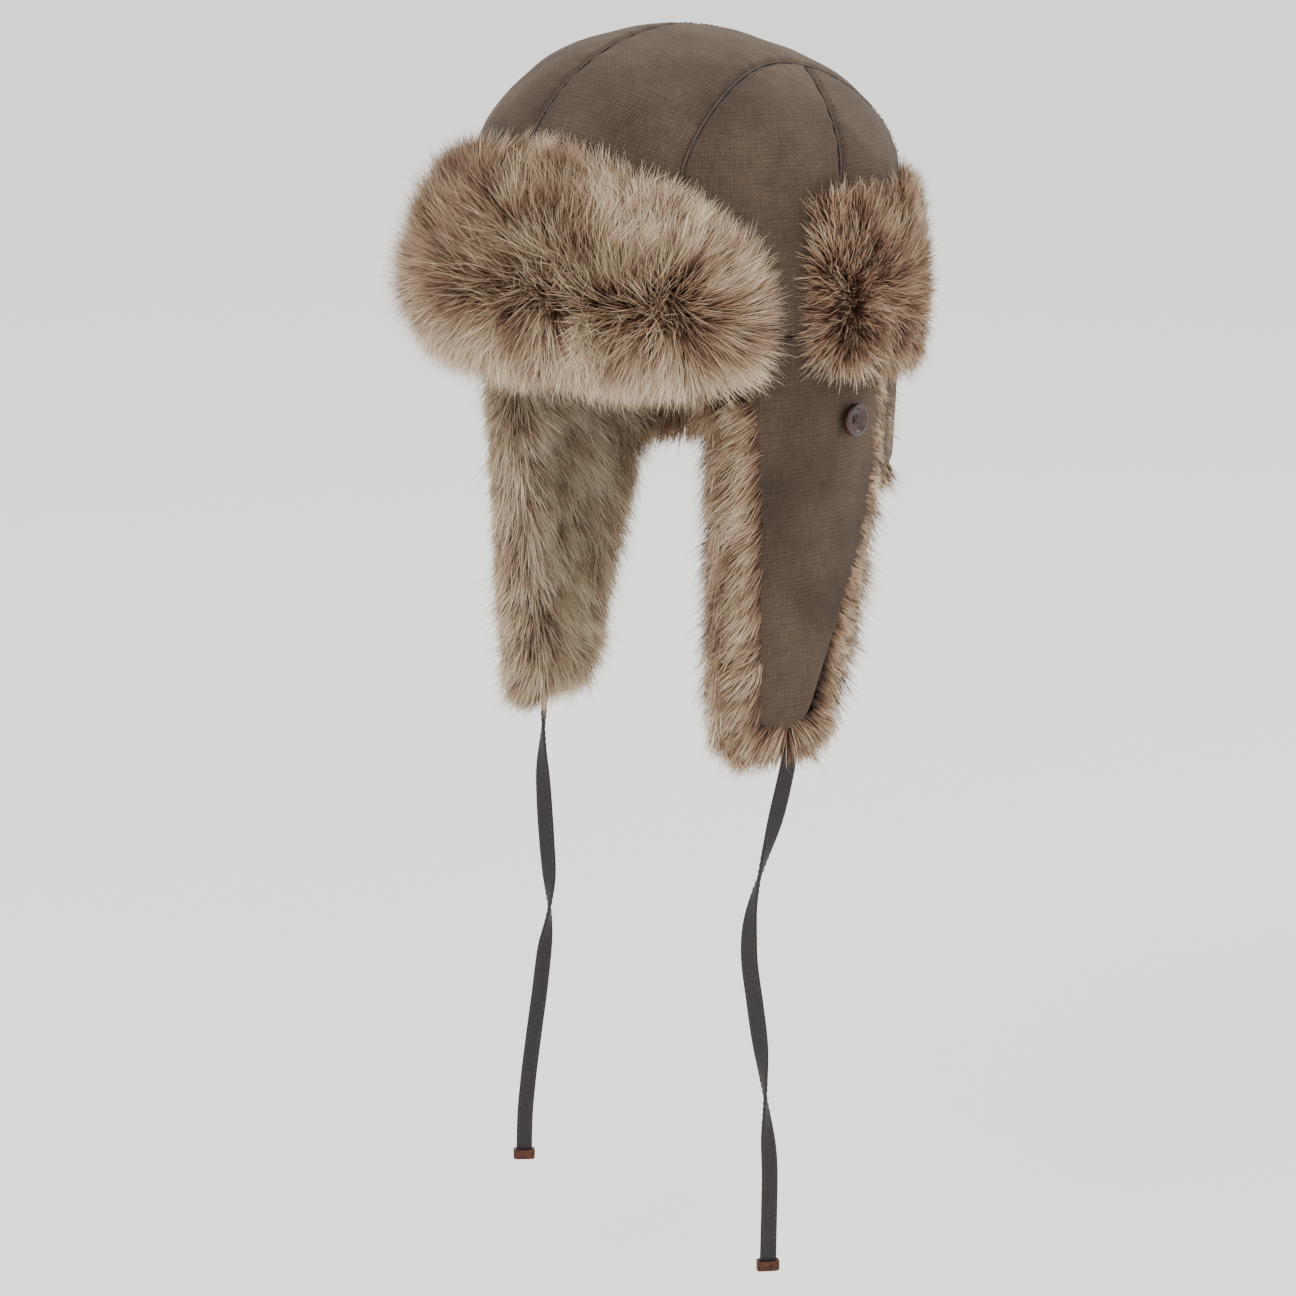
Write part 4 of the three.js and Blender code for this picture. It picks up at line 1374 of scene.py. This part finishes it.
@dataclass
class Button:
    """A turned button with a raised rim and a sewn, sunken middle."""

    word: str
    wardrobe: Wardrobe
    y: float
    z: float
    radius: float = 7.5
    thickness: float = 4.4
    shank: float = 2.2

    def _place(self) -> tuple[np.ndarray, np.ndarray, np.ndarray, np.ndarray]:
        """The button's place on the cloth, the way out of it, the way across it and the way up.

        Returns:
            Those four, in mm.
        """
        wall = FORM.skirt_at(np.array([self.y]), np.array([self.z]), 0.0, SIDES[self.word])[0]
        half = np.array([FORM.width / 2, FORM.length / 2])
        normal = unit(np.array([wall[0] / half[0] ** 2, wall[1] / half[1] ** 2, 0.0]))
        return wall, normal, np.array([-normal[1], normal[0], 0.0]), np.array([0.0, 0.0, 1.0])

    def _turned(
        self, name: str, profile: Sequence[tuple[float, float]], around: int = 48
    ) -> bpy.types.Object:
        """A profile turned about the line that points out of the cloth.

        Args:
            name: the piece's name.
            profile: (radius, height) pairs in mm, from the back to the face.
            around: sides.

        Returns:
            The closed piece.
        """
        wall, normal, across, up = self._place()
        a = np.linspace(0, 2 * math.pi, around, endpoint=False)
        r, h = (np.array(profile)[:, i][:, None, None] for i in (0, 1))
        ring = np.cos(a)[None, :, None] * across + np.sin(a)[None, :, None] * up
        points = (wall + normal * h + ring * r).reshape(-1, 3)
        rows = len(profile)
        faces = turned_to(points, grid_faces(rows, around, wrap=True), np.tile(normal, (len(points), 1)))
        caps = [[(rows - 1) * around + i for i in range(around)], list(reversed(range(around)))]
        return mesh_piece(name, points, [*faces.tolist(), *caps], self.wardrobe.horn)

    def build(self, body: str) -> None:
        """Makes the button, its thread and rides them on a body.

        Args:
            body: the body that carries it.
        """
        r, t, s = self.radius, self.thickness, self.shank
        back = [(0.4, s), (r - 1.6, s), (r - 0.4, s + 0.6), (r, s + 1.6)]
        rim = [(r, s + t - 1.3), (r - 0.35, s + t - 0.4), (r - 1.1, s + t), (r - 1.9, s + t - 0.3)]
        dish = [(r - 2.5, s + t - 1.3), (r - 3.0, s + t - 1.7), (r - 4.2, s + t - 1.8), (0.4, s + t - 1.75)]
        disc = self._turned(f"flap_button_{self.word}", back + rim + dish)
        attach(disc, body)
        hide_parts(f"button_{self.word}")
        wall, normal, across, up = self._place()
        strands = []
        for tilt in (math.radians(45), math.radians(135)):
            way = across * math.cos(tilt) + up * math.sin(tilt)
            for shift in (-0.45, 0.45):
                beside = np.cross(way, normal) * shift
                arch = [(-2.1, t - 2.1), (-1.9, t - 1.5), (0, t - 1.2), (1.9, t - 1.5), (2.1, t - 2.1)]
                line = spline([wall + normal * (s + h) + way * d + beside for d, h in arch], 14)
                strands.append(tube_points(line, 0.42, 8))
        stem = spline([wall - normal * 0.4, wall + normal * s * 0.5, wall + normal * (s + 0.3)], 8)
        strands.append(tube_points(stem, 1.1, 12))
        thread = joined(f"flap_button_thread_{self.word}", strands, self.wardrobe.cord)
        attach(thread, body)
        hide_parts(f"button_thread_{self.word}")


def tube_points(line: np.ndarray, radius: float, around: int) -> tuple[np.ndarray, list]:
    """A round closed tube along a line.

    Args:
        line: (n, 3) points in mm.
        radius: mm.
        around: sides.

    Returns:
        Its points and faces.
    """
    along = unit(np.gradient(line, axis=0))
    seed = np.array([0.0, 0.0, 1.0]) if abs(along[0][2]) < 0.9 else np.array([1.0, 0.0, 0.0])
    first = unit(np.cross(along, seed))
    second = np.cross(along, first)
    a = np.linspace(0, 2 * math.pi, around, endpoint=False)
    ring = np.cos(a)[None, :, None] * first[:, None] + np.sin(a)[None, :, None] * second[:, None]
    points = (line[:, None] + radius * ring).reshape(-1, 3)
    rows = len(line)
    faces = grid_faces(rows, around, wrap=True).tolist()
    faces += [list(reversed(range(around))), [(rows - 1) * around + i for i in range(around)]]
    return points, faces


def joined(
    name: str, solids: Sequence[tuple[np.ndarray, list]], material: bpy.types.Material
) -> bpy.types.Object:
    """Several closed shapes as one piece, with faces turned outwards.

    Args:
        name: its name.
        solids: the points and faces of each.
        material: its finish.

    Returns:
        The piece.
    """
    points, faces, start = [], [], 0
    for p, f in solids:
        volume = sum(np.dot(p[q[0]], np.cross(p[q[i]], p[q[i + 1]])) for q in f for i in range(1, len(q) - 1))
        faces += [[start + i for i in (q if volume > 0 else q[::-1])] for q in f]
        points.append(p)
        start += len(p)
    return mesh_piece(name, np.vstack(points), faces, material)


@dataclass
class Nape:
    """The canvas behind the ear flaps and its fur lining."""

    wardrobe: Wardrobe
    fur: FurTree
    slit_y: float = 42.4

    def _angles(self, count: int) -> np.ndarray:
        """Angles round the back from slit to slit."""
        start = math.acos(-self.slit_y / (FORM.length / 2))
        return np.linspace(start, 2 * math.pi - start, count)

    def build(self) -> None:
        """Builds and dresses the nape."""
        heights = np.linspace(FORM.seam - 0.3, FORM.nape_rim, 70)
        a, z = np.meshgrid(self._angles(190), heights, indexing="xy")
        flat = FORM.skirt(a, z, 0.0).reshape(-1, 3)
        hem = z - FORM.nape_rim
        crease = noise_at(flat * np.array([1, 1, 0.5]), 24, 21).reshape(a.shape)
        out = 0.8 * edge_rise(hem, 5) - 0.8 + 1.1 * crease * edge_rise(hem, 18)
        points = FORM.skirt(a, z, out).reshape(-1, 3)
        outward = points * np.array([1, 1, 0])
        faces = turned_to(points, grid_faces(*a.shape), outward)
        uv = np.stack([a * FORM.radius, z], -1).reshape(-1, 2)
        # Painted shade: seam is 1 along the crown's seam, where the canvas colour is darkened.
        seam = np.exp(-(((FORM.seam - z) / 1.3) ** 2)).ravel()
        flat_cloth = mesh_piece("nape_cloth", points, faces, self.wardrobe.canvas, uv, {"seam": seam})
        cloth = thickened(flat_cloth, 1.1)
        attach(cloth, "crown")
        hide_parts("nape_panel")
        hide = self._pad().guide(self.wardrobe.hide)
        under = FurCut(0.75, 17, 0.72, lift=0.42, clump=0.3, lock=4, stray=0.4, tone=-0.1)
        coat = FurCut(0.75, 22, 0.48, lift=0.36, clump=0.6, lock=7, stray=0.45, tone=0.08)
        for name, cut, seed in (("nape_underfur", under, 51), ("nape_coat", coat, 52)):
            layer = self.fur.grow(name, hide, cut, self.wardrobe.nape_fur, seed)
            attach(layer, "crown")
        thickened(hide, 1.2)
        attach(hide, "crown")
        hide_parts("nape_fur_lining")
        log.info("nape: cloth, hide, two fur layers")

    def _pad(self) -> FurPad:
        """The fur side, combed down and over the rim.

        Returns:
            Its guide.
        """
        heights = np.linspace(FORM.seam - 1, FORM.nape_rim - 1, 36)
        a, z = np.meshgrid(self._angles(90), heights, indexing="xy")
        hem = z - FORM.nape_rim + 1
        depth = 2.4 + 7.5 * edge_rise(hem, 11)
        points = FORM.skirt(a, z, -depth)
        outward = -points * np.array([1, 1, 0])
        wave = noise_at(points.reshape(-1, 3), 30, 23).reshape(a.shape)
        comb = np.stack([0.4 * wave, 0.3 * wave, -0.8 + 0 * z], -1)
        return FurPad("nape_hide", points, outward, comb, 0.9 + 0 * z, 0.48 + 0.12 * wave, np.ones_like(z))


# ---- Turned-up fur -----------------------------------------------------------------------------


@dataclass
class FrontFlap:
    """The turned-up front flap: long fur that parts from two whorls."""

    wardrobe: Wardrobe
    fur: FurTree
    half_angle: float = math.radians(60)
    top: float = 85.0
    end_top: float = 46.0
    foot: float = 9.0
    end_foot: float = 4.0
    whorls: tuple[tuple[float, float], ...] = ((-0.1, 34.0), (0.82, 18.0), (-0.82, 18.0))

    def _pad(self) -> FurPad:
        """The hide: a soft roll from the fold up the crown's front, with rounded ends.

        Returns:
            Its guide.
        """
        turn = np.linspace(-1, 1, 130)
        angle = turn * self.half_angle
        top = self.top - (self.top - self.end_top) * np.abs(turn) ** 2.4
        foot = self.foot + (self.end_foot - self.foot) * np.abs(turn) ** 1.5
        rising = [(0.8, 0.02), (5, -0.06), (13, -0.03), (19, 0.1), (21.5, 0.3)]
        profile = spline([*rising, (20.5, 0.52), (16, 0.76), (9, 0.93), (1.0, 1.0)], 60)
        swell = edge_rise((1 - np.abs(turn)) * self.half_angle * FORM.radius, 16)
        out = 0.8 + (profile[:, :1] - 0.8) * swell[None, :]
        height = foot[None, :] + profile[:, 1:] * (top - foot)[None, :]
        a = np.repeat(angle[None, :], len(profile), 0)
        points = FORM.crown(a, height, out)
        outward = points - HEART
        share = profile[:, 1:] + 0 * a
        flat = points.reshape(-1, 3)
        drifts = ((24, 33), (20, 34), (34, 31))
        swirl_side, swirl_up, wave = (noise_at(flat, *drift).reshape(a.shape) for drift in drifts)
        ends = np.sign(turn) * np.clip((np.abs(turn) - 0.45) / 0.55, 0, 1) ** 1.5
        comb_side = 0.8 * ends[None, :] + 0.75 * swirl_side
        comb_up = 0.85 * np.tanh((share - 0.3) / 0.22) + 0.6 * swirl_up
        arc = angle * FORM.radius
        calm = 0 * share
        for place, level in self.whorls:
            across = arc[None, :] - place * self.half_angle * FORM.radius
            rise = height - level
            near = 0.45 * np.exp(-(across**2 + rise**2) / (2 * 14.0**2))
            comb_side = comb_side * (1 - near) + near * across / 14
            comb_up = comb_up * (1 - near) + near * rise / 14
            calm = calm + np.exp(-(across**2 + rise**2) / (2 * 11.0**2))
        round_way = np.stack([np.cos(a), np.sin(a), 0 * a], -1)
        upward = np.stack([0 * a, 0 * a, 1 + 0 * a], -1)
        comb = comb_side[..., None] * round_way + comb_up[..., None] * upward
        high = np.clip((share - 0.4) / 0.4, 0, 1)
        shade = 0.44 - 0.2 * high * np.clip(0.7 - 1.2 * turn, 0, 1)[None, :]
        shade = shade + 0.22 * np.exp(-((share / 0.12) ** 2))
        shade = shade + 0.13 * wave + 0.14 * swirl_up - 0.08 * calm + 0.1 * np.clip(turn, 0, 1)[None, :]
        length = 0.9 - 0.25 * np.clip((share - 0.6) / 0.4, 0, 1)
        return FurPad("front_flap_hide", points, outward, comb, length, shade, np.ones_like(a))

    def build(self) -> None:
        """Builds and dresses the front flap."""
        hide = self._pad().guide(self.wardrobe.hide)
        cuts = (
            ("front_flap_underfur", FurCut(0.8, 16, 0.64, 0.95, 0.25, 4, 0.7, -0.2), 61),
            ("front_flap_coat", FurCut(0.88, 23, 0.42, 0.75, 0.42, 5.5, 0.8, -0.02), 62),
            ("front_flap_guard_hair", FurCut(0.8, 27, 0.32, 0.72, 0.55, 7, 0.8, 0.1), 63),
        )
        for name, cut, seed in cuts:
            layer = self.fur.grow(name, hide, cut, self.wardrobe.front_fur, seed)
            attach(layer, "front_flap")
        thickened(hide, 1.4)
        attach(hide, "front_flap")
        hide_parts("front_flap_fur", "front_flap_backing")
        log.info("front flap: hide and three fur layers")


@dataclass
class BackCuff:
    """The fur cuff round the back, from ear to ear."""

    wardrobe: Wardrobe
    fur: FurTree
    start: float = math.radians(83)
    top: float = 66.0
    foot: float = 2.0
    foot_back: float = -14.0

    def _pad(self) -> FurPad:
        """The hide: a low roll on the crown's wall that dips towards the back.

        Returns:
            Its guide.
        """
        turn = np.linspace(-1, 1, 190)
        angle = math.pi + turn * (math.pi - self.start)
        foot = self.foot_back + (self.foot - self.foot_back) * np.abs(turn) ** 1.5
        rising = [(0.8, 0.0), (3, -0.07), (5, 0.04), (6.5, 0.3)]
        profile = spline([*rising, (6.5, 0.65), (4, 0.92), (1.0, 1.0)], 44)
        swell = edge_rise((1 - np.abs(turn)) * (math.pi - self.start) * FORM.radius, 12)
        out = 0.8 + (profile[:, :1] - 0.8) * swell[None, :]
        height = foot[None, :] + profile[:, 1:] * (self.top - foot)[None, :]
        a = np.repeat(angle[None, :], len(profile), 0)
        below = (height < FORM.seam)[..., None]
        points = np.where(below, FORM.skirt(a, height, out), FORM.crown(a, height, out))
        outward = points * np.array([1, 1, 0.2])
        middle = foot + 0.32 * (self.top - foot)
        up = 0.8 * np.tanh((height - middle[None, :]) / 22)
        end = np.sign(turn) * np.exp(-((1 - np.abs(turn)) * (math.pi - self.start) * FORM.radius) / 14)
        round_way = np.stack([np.cos(a), np.sin(a), 0 * a], -1)
        upward = np.stack([0 * a, 0 * a, 1 + 0 * a], -1)
        comb = 1.1 * end[None, :, None] * round_way + up[..., None] * upward
        flat = points.reshape(-1, 3)
        drifts = ((30, 41), (22, 42), (18, 43))
        wave, swirl_side, swirl_up = (noise_at(flat, *drift).reshape(a.shape) for drift in drifts)
        comb = comb + 0.75 * swirl_side[..., None] * round_way + 0.5 * swirl_up[..., None] * upward
        shade = 0.48 + 0.22 * wave + 0.16 * swirl_up - 0.12 * np.exp(-(up**2) / 0.1) + 0.1 * (up < -0.6)
        return FurPad("back_cuff_hide", points, outward, comb, 1.0 + 0 * a, shade, np.ones_like(a))

    def build(self) -> None:
        """Builds and dresses the cuff."""
        hide = self._pad().guide(self.wardrobe.hide)
        cuts = (
            ("back_cuff_underfur", FurCut(0.72, 11, 0.64, 0.7, 0.25, 4, 0.7, -0.18), 71),
            ("back_cuff_coat", FurCut(0.8, 15, 0.4, 0.65, 0.45, 5.5, 0.8, -0.02), 72),
        )
        for name, cut, seed in cuts:
            layer = self.fur.grow(name, hide, cut, self.wardrobe.cuff_fur, seed)
            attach(layer, "crown")
        thickened(hide, 1.4)
        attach(hide, "crown")
        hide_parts("back_cuff_fur", "back_cuff_backing")
        log.info("back cuff: hide and two fur layers")


# ---- Chin straps -------------------------------------------------------------------------------

# Each strap's route below the place where it leaves the ear flap: outwards, back and up, in mm.
STRAP_ROUTES: dict[str, list[tuple[float, float, float]]] = {
    "left": [
        (0, 0, 0), (0.5, -0.5, -14), (0, -3.5, -28), (-1.5, -8, -46), (-4, -14, -68), (-6, -18, -88),
        (-6.5, -18.5, -109), (-5, -16, -132), (-3.5, -13.5, -154), (-2.5, -11.5, -177), (-2, -10, -196),
        (-1.5, -8.5, -216), (-1.5, -8.5, -238), (-2, -8.5, -267),
    ],
    "right": [
        (0, 0, 0), (0, -0.5, -13), (0.5, -1, -32), (1, -1.5, -51), (0.5, -1, -72), (0, 0, -92),
        (-0.5, 1, -112), (0, 1, -132), (1.5, -1, -152), (3, -3, -173), (4.5, -5.5, -194),
        (5.5, -8.5, -216), (6, -11, -238), (6, -12, -260),
    ],
}

# How each strap twists: length down it in mm, and the way its width points in degrees from +X.
STRAP_TWISTS: dict[str, list[tuple[float, float]]] = {
    "left": [
        (0, 90), (25, 72), (55, 62), (87, 130), (120, 212), (160, 224), (195, 140), (225, 62), (290, 52),
    ],
    "right": [
        (0, 90), (46, 130), (74, 200), (96, 222), (124, 200), (141, 140), (165, 62), (204, 46), (290, 52),
    ],
}


@dataclass
class ChinStrap:
    """A flat folded leather strap, stitched down its edges, with a copper keeper on its end."""

    word: str
    wardrobe: Wardrobe
    stitches: StitchTree
    width: float = 8.0
    thickness: float = 1.6
    sewn: float = 14.0
    cloth: float = 1.2
    clearance: float = 1.4
    centre_y: float = -17.0

    def _route(self) -> tuple[np.ndarray, np.ndarray]:
        """The strap's middle line from its sewn-in end, and the point where it leaves the flap.

        Returns:
            Both, in mm.
        """
        side = SIDES[self.word]
        depth = self.cloth + self.clearance + self.thickness / 2
        heights = np.array([FORM.flap_bottom + self.sewn, FORM.flap_bottom])
        wall = FORM.skirt_at(np.array([self.centre_y] * 2), heights, 0.0, 1)
        sewn, leaves = wall - np.array([depth, 0, 0])
        points = np.vstack([sewn, *[leaves + np.array(p) for p in STRAP_ROUTES[self.word]]])
        mirror = np.array([side, 1, 1])
        return spline(points * mirror, 150), leaves * mirror

    def build(self) -> None:
        """Builds and dresses the strap."""
        line, leaves = self._route()
        steps = np.linalg.norm(np.diff(line, axis=0), axis=1)
        run = np.concatenate([[0], np.cumsum(steps)])
        along = unit(np.gradient(line, axis=0))
        turn = np.radians(np.interp(run, *np.array(STRAP_TWISTS[self.word]).T))
        soft = np.hanning(17)
        turn = np.convolve(np.pad(turn, 8, mode="edge"), soft / soft.sum(), mode="valid")
        level = np.stack([np.cos(turn), np.sin(turn), 0 * turn], -1)
        wide = unit(level - along * np.einsum("ij,ij->i", level, along)[:, None])
        thin = np.cross(along, wide)
        a = np.linspace(0, 2 * math.pi, 20, endpoint=False)
        w = np.sign(np.cos(a)) * np.abs(np.cos(a)) ** 0.45 * self.width / 2
        t = np.sign(np.sin(a)) * np.abs(np.sin(a)) ** 0.7 * self.thickness / 2
        points = line[:, None] + w[None, :, None] * wide[:, None] + t[None, :, None] * thin[:, None]
        rows, around = points.shape[:2]
        faces = grid_faces(rows, around, wrap=True).tolist()
        faces += [list(reversed(range(around))), [(rows - 1) * around + i for i in range(around)]]
        solid = (points.reshape(-1, 3), faces)
        strap = joined(f"leather_strap_{self.word}", [solid], self.wardrobe.leather)
        body = f"strap_{self.word}"
        rows_of_thread = [
            (line + wide * (self.width / 2 - 1.2) * edge + thin * face * self.thickness / 2)[20:-6]
            for edge in (-1, 1)
            for face in (-1, 1)
        ]
        name = f"strap_stitching_{self.word}"
        thread = self.stitches.sew(name, rows_of_thread, self.wardrobe.cord, 3.2, 2.2, 0.42)
        keeper = self._keeper(line[-1], wide[-1], thin[-1], along[-1])
        for piece, slot in ((strap, "strap_leather"), (thread, "thread"), (keeper, "clasp_metal")):
            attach(piece, body)
        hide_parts(f"chin_strap_{self.word}")
        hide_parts(f"strap_clasp_{self.word}")
        log.info("chin strap %s: %.0f mm of leather", self.word, run[-1])

    def _keeper(
        self, end: np.ndarray, wide: np.ndarray, thin: np.ndarray, down: np.ndarray
    ) -> bpy.types.Object:
        """A flat copper loop folded round the strap's end.

        Args:
            end: the strap's last point, in mm.
            wide, thin, down: the strap's own directions there.

        Returns:
            The closed loop.
        """
        around = 32
        a = np.linspace(0, 2 * math.pi, around, endpoint=False)
        c = np.sign(np.cos(a)) * np.abs(np.cos(a)) ** 0.4
        s = np.sign(np.sin(a)) * np.abs(np.sin(a)) ** 0.4
        outside = [(0, 4.3, 1.0), (0, 5.3, 2.3), (0.4, 5.5, 2.5), (4.6, 5.5, 2.5), (5.0, 5.3, 2.3)]
        rings = [*outside, (5.0, 4.3, 1.0), (4.5, 4.15, 0.9), (0.5, 4.15, 0.9)]
        points = np.vstack([
            end + down * (h - 3.0) + wide * (c * w)[:, None] + thin * (s * t)[:, None] for h, w, t in rings
        ])
        faces = []
        for i in range(len(rings)):
            here, after = i * around, (i + 1) % len(rings) * around
            for j in range(around):
                beside = (j + 1) % around
                faces.append([here + j, here + beside, after + beside, after + j])
        return joined(f"strap_keeper_{self.word}", [(points, faces)], self.wardrobe.keeper)


# ---- Studio ------------------------------------------------------------------------------------


@dataclass
class Studio:
    """A pale floor, soft light and the camera."""

    azimuth: float = 45.0
    elevation: float = 15.0
    distance: float = 1600.0
    lens: float = 93.0
    target: tuple[float, float, float] = (-13.5, -13.5, -155.0)
    floor_drop: float = 60.0

    def camera(self) -> None:
        """Sets the camera up in front of the hat, to the wearer's left."""
        a, e = math.radians(self.azimuth), math.radians(self.elevation)
        away = Vector((math.sin(a) * math.cos(e), -math.cos(a) * math.cos(e), math.sin(e)))
        data = bpy.data.cameras.new("camera")
        data.lens = self.lens
        data.clip_end = 30.0
        camera = bpy.data.objects.new("camera", data)
        camera.location = (Vector(self.target) + away * self.distance) * MM
        camera.rotation_euler = away.to_track_quat("Z", "Y").to_euler()
        bpy.context.scene.collection.objects.link(camera)
        bpy.context.scene.camera = camera

    def room(self) -> None:
        """Makes the floor and the lights."""
        low = CAD_BOX[0][2] - self.floor_drop * MM
        mesh = bpy.data.meshes.new("floor")
        reach = 30.0
        corners = [(-reach, -reach, low), (reach, -reach, low), (reach, reach, low), (-reach, reach, low)]
        mesh.from_pydata(corners, [], [(0, 1, 2, 3)])
        floor = bpy.data.objects.new("floor", mesh)
        bpy.context.scene.collection.objects.link(floor)
        pale = bpy.data.materials.new("pale_floor")
        pale.use_nodes = True
        shader = pale.node_tree.nodes["Principled BSDF"]
        shader.inputs["Base Color"].default_value = linear("#FBFAF8")
        shader.inputs["Roughness"].default_value = 0.9
        mesh.materials.append(pale)
        world = bpy.data.worlds.new("studio")
        world.use_nodes = True
        sky = world.node_tree.nodes["Background"]
        sky.inputs["Color"].default_value = linear("#FFFFFF")
        sky.inputs["Strength"].default_value = 1.5
        bpy.context.scene.world = world
        lights = (
            ("key", (-0.2, -1.9, 1.5), 1.1, 34.0),
            ("fill", (1.9, -0.6, 0.5), 1.4, 10.0),
            ("rim", (0.4, 1.6, 1.4), 1.2, 14.0),
        )
        for name, place, size, power in lights:
            data = bpy.data.lights.new(name, "AREA")
            data.energy = power
            data.size = size
            light = bpy.data.objects.new(name, data)
            light.location = place
            light.rotation_euler = Vector(place).to_track_quat("Z", "Y").to_euler()
            bpy.context.scene.collection.objects.link(light)


def main() -> None:
    """Builds the hat piece by piece."""
    logging.basicConfig(level=logging.INFO, format="%(message)s")
    studio = Studio()
    studio.camera()
    wardrobe = Wardrobe()
    stitches = StitchTree()
    fur = FurTree()
    for word in SIDES:
        ChinStrap(word, wardrobe, stitches).build()
    Crown(wardrobe, stitches).build()
    for word in SIDES:
        EarFlap(word, wardrobe, fur).build()
    Nape(wardrobe, fur).build()
    FrontFlap(wardrobe, fur).build()
    BackCuff(wardrobe, fur).build()
    studio.room()


if __name__ == "__main__":
    main()
